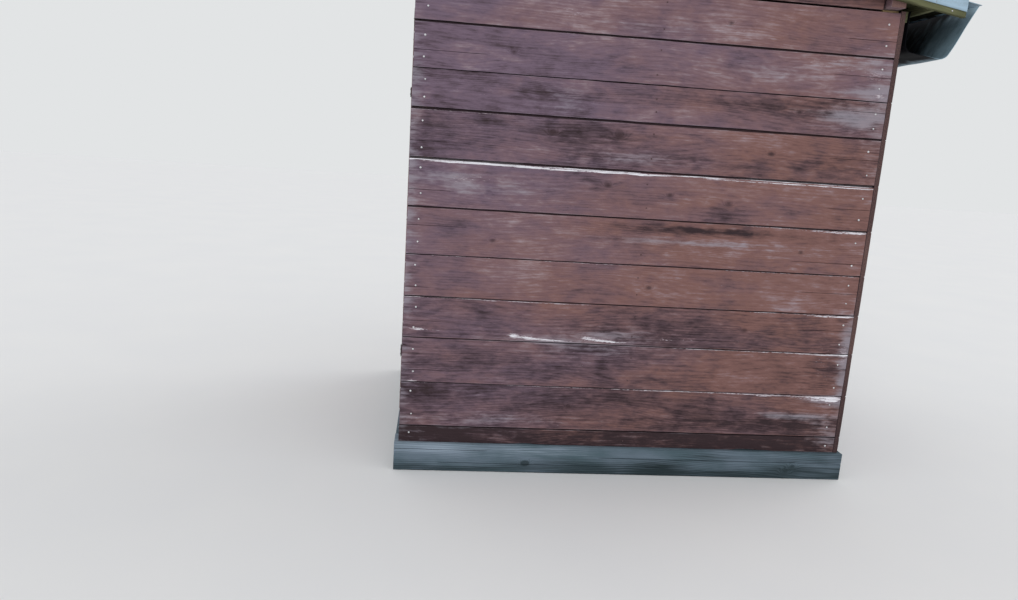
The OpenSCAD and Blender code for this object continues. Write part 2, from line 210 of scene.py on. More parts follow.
def makeStage():
    reach, drop = stage["reach"], stage["drop"]
    mesh = bpy.data.meshes.new("paleFloor")
    square = [(x * reach, y * reach, -drop) for x, y in ((-1, -1), (1, -1), (1, 1), (-1, 1))]
    mesh.from_pydata(square, [], [(0, 1, 2, 3)])
    floor = bpy.data.objects.new("paleFloor", mesh)
    bpy.context.scene.collection.objects.link(floor)
    wire, finish = startMaterial("paleFloor")
    speckle = wire.node("TexCoord", {}, {}, "Object").noise(detail=3.0, scale=1.5)
    mesh.materials.append(finish(speckle.mix(*stage["floor"]), stage["dull"]))
    floor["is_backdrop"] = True

    world = bpy.data.worlds.new("paleRoom")
    bpy.context.scene.world = world
    world.use_nodes = True
    wire = Wire(world.node_tree)
    seen = wire.node("LightPath", {}, {}, "Is Camera Ray").mix(stage["room"], stage["backdrop"])
    wire.plug(world.node_tree.nodes["Background"].inputs, {"Color": seen, "Strength": 1.0})

    for name, ((x, y, z), wide, strength) in stage["lamps"].items():
        lamp = bpy.data.objects.new(name, bpy.data.lights.new(name, "SUN"))
        lamp.data.energy, lamp.data.angle = strength, math.radians(wide)
        bpy.context.scene.collection.objects.link(lamp)
        lamp.rotation_euler = (math.atan2(math.hypot(x, y), z), 0, math.atan2(x, -y))


setCamera()
makeStage()
bpy.context.scene.view_settings.view_transform = "Standard"
print("camera, floor and light set")


# 0 to 1 with a gentle start and end
def eased(t):
    return t * t * (3 - 2 * t)


# Smooth random field over two directions: random heights from -1 to 1 on a lattice that repeats, eased from
# one to the next
def softField(u, v, seed, lattice=61):
    heights = np.random.default_rng(seed).random((lattice, lattice)) * 2 - 1
    u, v = np.broadcast_arrays(np.asarray(u, float), np.asarray(v, float))
    iu, iv = np.floor(u).astype(int), np.floor(v).astype(int)
    fu, fv = eased(u - iu), eased(v - iv)
    u0, u1, v0, v1 = iu % lattice, (iu + 1) % lattice, iv % lattice, (iv + 1) % lattice
    low = heights[u0, v0] * (1 - fu) + heights[u1, v0] * fu
    high = heights[u0, v1] * (1 - fu) + heights[u1, v1] * fu
    return low * (1 - fv) + high * fv


# 1 between start and end and 0 outside, eased over soft at both
def span(t, start, end, soft):
    return eased(np.clip((t - start) / soft + 0.5, 0, 1)) * eased(np.clip((end - t) / soft + 0.5, 0, 1))


# A bell of height 1 at (u0, v0)
def bell(u, v, u0, v0, ru, rv):
    return np.exp(-((u - u0) / ru) ** 2 - ((v - v0) / rv) ** 2)


# Bells added up; each place has its u, v, half length, half height and strength
def bells(places, u, v):
    return sum((amount * bell(u, v, *where) for *where, amount in places), np.zeros(u.shape))


# A soft field of some strength, as a function of (u, v)
def drift(amount, fineU, fineV, seed):
    return lambda u, v: amount * softField(u * fineU, v * fineV, seed)


# Patches where a soft field, times gain and plus bias, is above 0, as a function of (u, v)
def patches(amount, fineU, fineV, seed, gain, bias):
    return lambda u, v: amount * np.clip(softField(u * fineU, v * fineV, seed) * gain + bias, 0, 1)


# A number, a function of (u, v), or several of them added up
def summed(parts, u, v):
    parts = parts if isinstance(parts, tuple) else (parts,)
    return sum((part(u, v) if callable(part) else part for part in parts), np.zeros(u.shape))


# Joins surfaces into one mesh: points, faces as runs of corners, a UV per corner, and named values per point
# or face
def addPiece(name, surfaces, material, slot=None, nodes=(), sharp=38.0):
    mesh = bpy.data.meshes.new(name)
    points = np.concatenate([s["points"] for s in surfaces]) + home
    offsets = np.cumsum([0] + [len(s["points"]) for s in surfaces[:-1]])
    corners = np.concatenate([s["corners"] + o for s, o in zip(surfaces, offsets)])
    counts = np.concatenate([s["counts"] for s in surfaces])
    mesh.vertices.add(len(points))
    mesh.vertices.foreach_set("co", points.astype(np.float32).ravel())
    mesh.loops.add(len(corners))
    mesh.loops.foreach_set("vertex_index", corners.astype(np.int32))
    mesh.polygons.add(len(counts))
    mesh.polygons.foreach_set("loop_start", (np.cumsum(counts) - counts).astype(np.int32))
    mesh.polygons.foreach_set("use_smooth", np.ones(len(counts), bool))
    mesh.update(calc_edges=True)
    if "uv" in surfaces[0]:
        uv = np.concatenate([s["uv"] for s in surfaces]).astype(np.float32)
        mesh.uv_layers.new(name="grain").uv.foreach_set("vector", uv.ravel())
    for group, domain in (("fields", "POINT"), ("faceFields", "FACE")):
        for key in surfaces[0].get(group, {}):
            values = np.concatenate([s[group][key] for s in surfaces]).astype(np.float32)
            mesh.attributes.new(key, "FLOAT", domain).data.foreach_set("value", values)
    mesh.set_sharp_from_angle(angle=math.radians(sharp))
    mesh.materials.append(material)
    piece = bpy.data.objects.new(name, mesh)
    bpy.context.scene.collection.objects.link(piece)
    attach(piece, "root")
    if nodes:
        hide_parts(*nodes)


# Corners of the quads of a grid of rows by columns points, whose last column joins its first
def gridCorners(rows, columns):
    i = np.arange(rows - 1)[:, None]
    j = np.arange(columns)[None, :]
    after = (j + 1) % columns
    return np.stack([i * columns + j, (i + 1) * columns + j, (i + 1) * columns + after,
                     i * columns + after], axis=-1).reshape(-1)


# A sawn board. Its section runs clockwise round the face, the upper edge, the back and the lower edge, and
# is carried along the board. u goes along it, v across its face from low to high, w out of it. Slow random
# fields move the edges, wear rounds the arrises, the face cups, and checks cut narrow grooves in it.
def sawnBoard(place, length, low, high, look, start=0.0):
    seed, thick, knots = look["seed"], look["thick"], look.get("knots", ())
    rng = np.random.default_rng(seed)
    stations = max(6, int(length / look["step"]))
    u = np.concatenate([[0, 0.0012], np.linspace(0.006, length - 0.006, stations), [length - 0.0012, length]])
    wanted = [s for s in look.get("stations", ()) if start < s < start + length]
    u = np.sort(np.concatenate([start + u, wanted]))
    low = np.broadcast_to(low(u) if callable(low) else low, u.shape).astype(float)
    high = np.broadcast_to(high(u) if callable(high) else high, u.shape).astype(float)
    straightHigh, wide = high, np.maximum(high - low, 0.001)
    meanWide = float(np.mean(wide))
    slim = np.clip(wide / 0.02, 0, 1)  # a board that runs out to nothing gets no wear there

    def slow(rate, order):
        return softField(u * rate, 0.5, seed + order)

    wander = look["wander"] * slim
    low = low + wander * (0.5 + 0.5 * slow(2.3, 11) + 0.35 * slow(14, 12))
    high = high - wander * (0.5 + 0.5 * slow(2.1, 13) + 0.35 * slow(13, 14))
    low = low + look.get("ragged", 0.0) * np.clip(slow(9, 15), 0, 1) ** 1.5
    wearHigh = look["wear"] * (1 + 0.6 * slow(5, 16)) * slim + 0.0002
    wearLow = look["wear"] * (1 + 0.6 * slow(5, 17)) * slim + 0.0002
    for x0, x1, size in look.get("wornTop", ()):
        wearHigh = wearHigh + size * span(u, x0, x1, 0.08) * (0.75 + 0.25 * slow(30, 18))
    wearHigh = np.minimum(wearHigh, thick * 0.45)

    near = np.array(look["edges"]) / meanWide
    near = near[near < 0.3]
    across = np.unique(np.concatenate([[0], near, np.linspace(0.05, 0.95, look["columns"]), 1 - near, [1]]))
    across = across[np.concatenate([[True], np.diff(across) > 0.004])]
    across[-1] = 1.0
    kind = np.zeros(len(across), int)
    half = look["checkHalf"] / meanWide
    checks = look.get("checks", ())
    for number, check in enumerate(checks, 1):
        clear = np.abs(across - check["at"]) >= 3 * half + 0.012
        across = np.concatenate([across[clear], check["at"] + np.array([-half, 0, half])])
        kind = np.concatenate([kind[clear], [0, number, 0]])
        order = np.argsort(across)
        across, kind = across[order], kind[order]
    inner = low + wearLow
    face = inner[:, None] + across[None, :] * (high - wearHigh - inner)[:, None]
    uu = u[:, None]
    depth = look["cup"] * (2 * across[None, :] - 1) ** 2 * np.ones_like(face)
    depth = depth + look["relief"] * (1 + 0.6 * softField(uu * 3, face * 18, seed + 1)
                                      + 0.4 * softField(uu * 22, face * 120, seed + 2))
    depth = depth + look["bow"] * (1 + softField(uu * 1.7, face * 3, seed + 3))
    opened = np.zeros_like(face)
    for number, check in enumerate(checks, 1):
        cut = (kind == number)[None, :] * span(u, check["from"], check["to"], 0.05)[:, None]
        opened, depth = opened + cut, depth + check["deep"] * cut
    for x, z, size in knots:
        depth = depth - 0.5 * look["relief"] * bell(uu, face, x, z, size * 1.5, size)
    depth = depth * slim[:, None]

    def column(v, w):
        return np.stack([np.broadcast_to(v, u.shape), np.broadcast_to(w, u.shape)], axis=-1)[:, None]

    # A point of a worn arris, at an angle round its middle: 0 looks up the board, 90 out of its face and
    # 180 down
    def arris(angle, middle, radius, faceDepth):
        a = math.radians(angle)
        sunk = faceDepth * (min(angle, 180 - angle) / 90)
        return column(middle + radius * math.cos(a), -sunk - radius + radius * math.sin(a))

    if look["lap"] > 0:
        tongue = straightHigh + look["tongue"]
        edge = [(high, -look["lap"]), (tongue, -look["lap"] - 0.0005), (tongue, -thick)]
    else:
        edge = [(high, -thick * 0.6), (high, -thick)]
    edge += [(high - wide * 0.35, -thick), (low + wide * 0.35, -thick), (low, -thick), (low, -thick * 0.6)]
    section = [np.stack([face, -depth], axis=-1)]
    section += [arris(angle, high - wearHigh, wearHigh, depth[:, -1]) for angle in (60, 30, 0)]
    section += [column(v, w) for v, w in edge]
    section += [arris(angle, low + wearLow, wearLow, depth[:, 0]) for angle in (180, 150, 120)]
    ring = np.concatenate(section, axis=1)
    rows, columns = ring.shape[:2]

    # The ends: the first and last ring draw in a little, so that the cut edge is eased
    middle = ring.mean(axis=1, keepdims=True)
    for end in (0, -1):
        drawn = 1 - 0.0016 / np.array([max(wide[end], 0.004), thick])
        ring[end] = middle[end] + (ring[end] - middle[end]) * drawn
    along, up = np.array(place["along"], float), np.array(place["across"], float)
    out = np.cross(along, up)
    out = out / np.linalg.norm(out)
    points = (np.array(place["start"], float) + uu[..., None] * along + ring[..., :1] * up
              + ring[..., 1:] * out)

    # UV: metres along the board and round its section, from a random place in the pattern
    step = np.linalg.norm(np.roll(ring, -1, axis=1) - ring, axis=-1).mean(axis=0)
    walked = np.concatenate([[0], np.cumsum(step)])
    count = len(across)
    aroundV = np.empty((rows, columns + 1))
    aroundV[:, :count] = face
    aroundV[:, count:] = high[:, None] + (walked[count:] - walked[count - 1])[None, :]
    uv = np.stack(np.broadcast_arrays(uu, aroundV), axis=-1) + rng.random(2) * 7.0
    sideUv = np.stack([uv[:-1, :-1], uv[1:, :-1], uv[1:, 1:], uv[:-1, 1:]], axis=2).reshape(-1, 2)
    # On the cut ends the growth rings run round a heart behind the board
    heart = np.array([float(np.mean(low + wide * rng.uniform(0.2, 0.8))), -thick * rng.uniform(1.2, 3.0)])

    uu, vv = np.broadcast_arrays(uu, ring[..., 0])
    fields = {key: summed(look.get(key, 0.0), uu, vv) for key in ("bare", "shade", "warm", "knot", "chalk")}
    fields["knot"] = fields["knot"] + bells([(x, z, size * 1.6, size, 1) for x, z, size in knots], uu, vv)
    fields["arris"] = np.zeros((rows, columns))
    fields["arris"][:, [0, count - 1, count, count + 1, count + 2, -3, -2, -1]] = 1.0
    fields["groove"] = np.zeros((rows, columns))
    fields["groove"][:, :count] = opened
    fields["groove"][:, count + 2:columns - 2] = look["joint"]
    corners = gridCorners(rows, columns)
    quads = len(corners) // 4
    cap = np.arange(columns)
    return {
        "points": points.reshape(-1, 3),
        "corners": np.concatenate([corners, cap, (rows - 1) * columns + cap[::-1]]),
        "counts": np.concatenate([np.full(quads, 4), [columns, columns]]),
        "uv": np.concatenate([sideUv, ring[0] - heart, ring[-1][::-1] - heart]),
        "fields": {key: value.reshape(-1) for key, value in fields.items()},
        "faceFields": {"endGrain": np.concatenate([np.zeros(quads), [1.0, 1.0]])},
    }


# Directions of a wall's boards: along them, up them, and out of their face by the cross product
walls = {
    "front": {"start": (0, 0, 0), "along": toRight, "across": upward},
    "right": {"start": (rightFace, 0, 0), "along": toBack, "across": upward},
    "back": {"start": (rightFace, backFace, 0), "along": toLeft, "across": upward},
    "left": {"start": (0, backFace, 0), "along": toFront, "across": upward},
}

# How the boards of the walls, and squared timber, are sawn and worn
boardLook = {
    "thick": shed["board"], "lap": 0.012, "tongue": 0.0042, "step": 0.02, "columns": 9, "wander": 0.0012,
    "wear": 0.0014, "cup": 0.0006, "relief": 0.0004, "bow": 0.0004, "checkHalf": 0.0012, "edges": (0.003,),
    "joint": 1.0,
}
timberLook = dict(boardLook, lap=0.0, joint=0.0, step=0.012, columns=13, wear=0.003, cup=0.0005,
                  relief=0.0008, bow=0.0006, checkHalf=0.0015)


# Lower and upper edge of each level board between two heights; a gap at a seam is shared by its two boards
def courseSpans(foot, head, gaps=shed["gap"]):
    edges = np.array([foot] + [s for s in seams if foot + 0.006 < s < head - 0.006] + [head])
    half = np.concatenate([[0], np.broadcast_to(gaps, len(edges) - 2), [0]]) / 2
    return list(zip(edges[:-1] + half[:-1], edges[1:] - half[1:]))


# A squared timber or board between two corners, grain along one level axis, seen mostly from its outer side
def timber(low, high, along, seed, **more):
    out = np.cross(along, upward)
    start = np.where(np.array(along) + upward - out > 0, low, high)
    length, wide, thick = (float(abs(np.dot(high - low, way))) for way in (along, upward, out))
    look = dict(timberLook, seed=seed, thick=thick, **more)
    return sawnBoard({"start": start, "along": along, "across": upward}, length, 0.0, wide, look)


# Growth rings on a cut end, whose UV is measured from the heart of the tree
def endRings(grain, light, dark, shade):
    far = grain.node("VectorMath", {"operation": "LENGTH"}, {0: grain}, 1)
    ring = (far * 260 + grain.noise(scale=40.0, detail=1.0) * 1.5).rings(-0.6)
    return (ring * 0.4 + grain.noise(scale=190.0) - shade).mix(light, dark)


# Red-brown stain on sawn boards, from cool plum to warm by each board's warmth; on the front wall that warmth
# also holds painted light, cool skylight at the left end and warm bounce light at the right. Streaks run
# along the grain, growth lines bend round the knots, and bare wood is pale where the stain has gone
stain = palette(cool=(110, 92, 108), warm=(122, 88, 83), deep=(46, 31, 35), chalk=(166, 152, 160),
                bare=(226, 225, 232), grey=(147, 142, 152), crack=(112, 96, 98), knot=(50, 33, 37),
                end=(122, 93, 87))


def stainedBoards():
    wire, finish = startMaterial("stainedBoards")
    grain = wire.node("UVMap", {"uv_map": "grain"})
    bare, shade, warm, knot, chalk, arris, groove, endGrain = wire.fields(
        "bare", "shade", "warm", "knot", "chalk", "arris", "groove", "endGrain")
    hair = grain.stretch(30, 420, 1).noise(detail=3.0, rough=0.65) - 0.5
    streak = grain.stretch(4.5, 95, 1).noise(detail=3.0, rough=0.62) - 0.5
    mottle = grain.stretch(17, 48, 1).noise(detail=4.0, rough=0.62, warp=0.4) - 0.5
    blotch = grain.stretch(7, 13, 1).noise(detail=4.0, rough=0.55, warp=0.5) - 0.5
    cloud = grain.stretch(1.7, 4.5, 1).noise(detail=3.0) - 0.5
    wave = grain.stretch(1.1, 6, 1).noise(detail=1.0)
    across = grain.node("SeparateXYZ", {}, {0: grain}, 1)
    rings = (across * 74 + wave * 16 + knot * 3).rings(-0.2)

    body = (warm + blotch * 1.1 + cloud * 1.5 + mottle * 0.6).mix(stain["cool"], stain["warm"])
    light = shade + streak * 0.95 + mottle * 0.85 + hair * 0.8 + blotch * 1.15 + cloud - rings * 0.12
    body = (0 - light).ease(-0.1, 0.95).mix(body, stain["deep"])
    body = ((light + cloud * 0.4).ease(0.0, 0.9) * 0.75).mix(body, stain["chalk"])
    rubbed = (chalk + arris * 0.25 + streak * 1.2 + mottle * 1.2 + blotch * 0.6).ease(0.12, 0.95)
    body = (rubbed * 0.7).mix(body, stain["grey"])

    # Bare wood: chips along the grain break its outline, splits run through it, and the barest is whitest
    chip = grain.stretch(13, 170, 1).noise(detail=4.0, rough=0.7) - 0.5
    fleck = grain.stretch(80, 260, 1).noise(rough=0.6) - 0.5
    split = grain.stretch(5, 330, 1).noise(rough=0.6)
    gone = (bare * 1.25 + chip * 2.0 + fleck * 1.6).ease(0.72, 0.94)
    wood = (bare * 2.2 + chip + fleck * 0.6 - 1.35).ease(-0.1, 0.8).mix(stain["chalk"], stain["bare"])
    wood = (split.ease(0.53, 0.62) * 0.85).mix(wood, stain["crack"])
    body = gone.mix(body, wood)

    body = ((knot + hair * 0.5 + mottle).ease(0.2, 1.1) * 0.85).mix(body, stain["knot"])
    body = (groove * 0.9).mix(body, stain["deep"])
    body = endGrain.mix(body, endRings(grain, stain["end"], stain["deep"], shade))
    height = streak * 0.5 + hair * 0.35 + mottle * 0.3 + rings * 0.25 - gone * 0.2
    return finish(body, 0.78 + streak * 0.4, height, 0.0012, specular=0.3)


# Timber with no paint: pale where it is fresh and grey or olive where it has weathered; pattern from a UV map
def bareTimber(name, colours, scale=1.0, rough=0.8):
    wire, finish = startMaterial(name)
    grain = wire.node("UVMap", {"uv_map": "grain"})
    shade, bare, knot, groove, endGrain = wire.fields("shade", "bare", "knot", "groove", "endGrain")
    hair = grain.stretch(12 * scale, 380 * scale, 1).noise(detail=3.0, rough=0.65) - 0.5
    streak = grain.stretch(3.0 * scale, 70 * scale, 1).noise(detail=3.0, rough=0.6) - 0.5
    blotch = grain.stretch(4.5, 11, 1).noise(detail=4.0, warp=0.4)
    wave = grain.stretch(1.1, 7, 1).noise(detail=1.0)
    across = grain.node("SeparateXYZ", {}, {0: grain}, 1)
    rings = (across * (110 * scale) + wave * 9 + knot * 4).rings(0.0)
    body = blotch.ease(0.3, 0.7).mix(colours["main"], colours["other"])
    light = shade + streak * 0.8 + hair * 0.6 - rings * 0.18
    body = (0 - light).ease(0.0, 0.8).mix(body, colours["dark"])
    body = (light + bare).ease(0.15, 0.9).mix(body, colours["light"])
    body = ((knot + hair * 0.6).ease(0.45, 1.0) * 0.75).mix(body, colours["dark"])
    body = (groove * 0.9).mix(body, colours["dark"])
    body = endGrain.mix(body, endRings(grain, colours["main"], colours["dark"], shade))
    return finish(body, rough + streak * 0.2, streak * 0.6 + hair * 0.4 + rings * 0.35, 0.0014, specular=0.25)


# The same kind of timber for parts that keep the frame's own shape; their grain runs along one axis in space
def framedTimber(name, colours, axis):
    wire, finish = startMaterial(name)
    place = wire.node("TexCoord", {}, {}, "Object")
    fine, wide = [300.0] * 3, [60.0] * 3
    fine[axis], wide[axis] = 9.0, 2.5
    hair = place.stretch(*fine).noise(detail=3.0, rough=0.6) - 0.5
    streak = place.stretch(*wide).noise(detail=3.0, rough=0.6) - 0.5
    blotch = place.noise(detail=3.0, scale=6.0)
    body = blotch.ease(0.3, 0.7).mix(colours["main"], colours["other"])
    light = streak * 1.1 + hair * 0.8
    body = (0 - light).ease(0.0, 0.8).mix(body, colours["dark"])
    body = light.ease(0.1, 0.8).mix(body, colours["light"])
    return finish(body, 0.82 + streak * 0.2, streak * 0.6 + hair * 0.4, 0.001, specular=0.25)


# Coated sheet: its colour with clouds of dirt, streaks down one axis and a few rusty spots. Grime and shade
# is a point value of the sheets, near black at 1: dirt on the roof sheet and trims, painted shade in the
# gutter.
def coatedSheet(name, colours, axis, scale=1.0, metallic=0.3, rough=0.42, specular=0.5):
    wire, finish = startMaterial(name)
    place = wire.node("TexCoord", {}, {}, "Object")
    along = [26.0 * scale] * 3
    along[axis] = 1.2 * scale
    streak = place.stretch(*along).noise(detail=3.0, rough=0.6) - 0.5
    cloud = place.noise(detail=4.0, scale=3.0 * scale, rough=0.6) - 0.5
    grit = place.noise(scale=180.0) - 0.5
    dirt = (streak * 1.5 + cloud * 0.9 + grit * 0.4 + 0.05).ease(0.0, 0.6) * 0.55
    body = cloud.ease(-0.15, 0.15).mix(colours["main"], colours["other"])
    body = dirt.mix(body, colours["dirt"])
    spots = (place.noise(detail=3.0, scale=26.0) + grit * 0.2).ease(0.72, 0.78)
    body = (spots * 0.5).mix(body, colours["rust"])
    # Dirt on the roof sheet and trims, painted shade in the gutter, both carried by the sheets' point value
    if "grime" in colours:
        grime, = wire.fields("grime")
        sootAndShade = grime + (streak + cloud) * grime * 0.9
        dirt = (dirt + sootAndShade).ease(0.0, 1.1)
        body = sootAndShade.ease(0.0, 1.0).mix(body, colours["grime"])
    height = cloud * 0.6 + grit * 0.06
    return finish(body, rough + dirt * 0.4, height, 0.0015, metallic * (1 - dirt), specular)


freshWood = palette(main=(172, 146, 106), other=(186, 160, 120), dark=(112, 84, 54), light=(206, 184, 146))
oliveWeathered = palette(main=(104, 105, 76), other=(86, 88, 60), dark=(36, 35, 19), light=(150, 150, 116))
handledWood = palette(main=(138, 126, 104), other=(118, 106, 86), dark=(60, 50, 38), light=(168, 157, 134))
greyWeathered = palette(main=(98, 112, 124), other=(74, 92, 100), dark=(34, 46, 50), light=(142, 156, 170))
screwCoating = palette(main=(172, 198, 216), other=(156, 182, 200), dirt=(112, 122, 122), rust=(124, 96, 78))
roofCoating = dict(screwCoating, grime=tone(46, 54, 54))
# The gutter's darkest colour is near black, for the painted shade inside it and near the wall
gutterCoating = palette(main=(158, 186, 200), other=(142, 170, 184), dirt=(84, 96, 98), rust=(110, 84, 68),
                        grime=(8, 9, 14))
blackIron = palette(main=(60, 58, 58), other=(70, 67, 65), dirt=(44, 41, 40), rust=(86, 68, 60))
darkFoam = palette(main=(50, 52, 54), other=(62, 64, 66), dirt=(34, 34, 32), rust=(74, 70, 64))
brightNails = palette(main=(212, 212, 214), other=(190, 190, 194), dirt=(140, 124, 116), rust=(146, 106, 84))
paintedNails = palette(main=(88, 66, 68), other=(74, 54, 56), dirt=(50, 36, 38), rust=(104, 62, 48))

stainedWood = stainedBoards()
oliveWood = bareTimber("oliveTimber", oliveWeathered)
plinthWood = bareTimber("plinthTimber", greyWeathered, scale=0.8, rough=0.85)
buttonWood = bareTimber("buttonTimber", handledWood, scale=2.0)
knobWood = framedTimber("knobTimber", handledWood, 0)
sawnTimber = [framedTimber("sawnTimber" + "XYZ"[axis], freshWood, axis) for axis in (0, 1, 2)]
roofMetal = coatedSheet("roofMetal", roofCoating, 0)
gutterMetal = coatedSheet("gutterMetal", gutterCoating, 2, specular=0.1)
ironMetal = coatedSheet("ironMetal", blackIron, 2, scale=4.0, metallic=0.5, rough=0.6)
nailMetal = coatedSheet("nailMetal", brightNails, 2, scale=20.0, rough=0.4)
paintedMetal = coatedSheet("paintedMetal", paintedNails, 2, scale=20.0, rough=0.6)
screwMetal = coatedSheet("screwMetal", screwCoating, 2, scale=20.0)
foamGrey = coatedSheet("foamGrey", darkFoam, 1, scale=8.0, metallic=0.0, rough=0.55, specular=0.2)
print("finishes made")

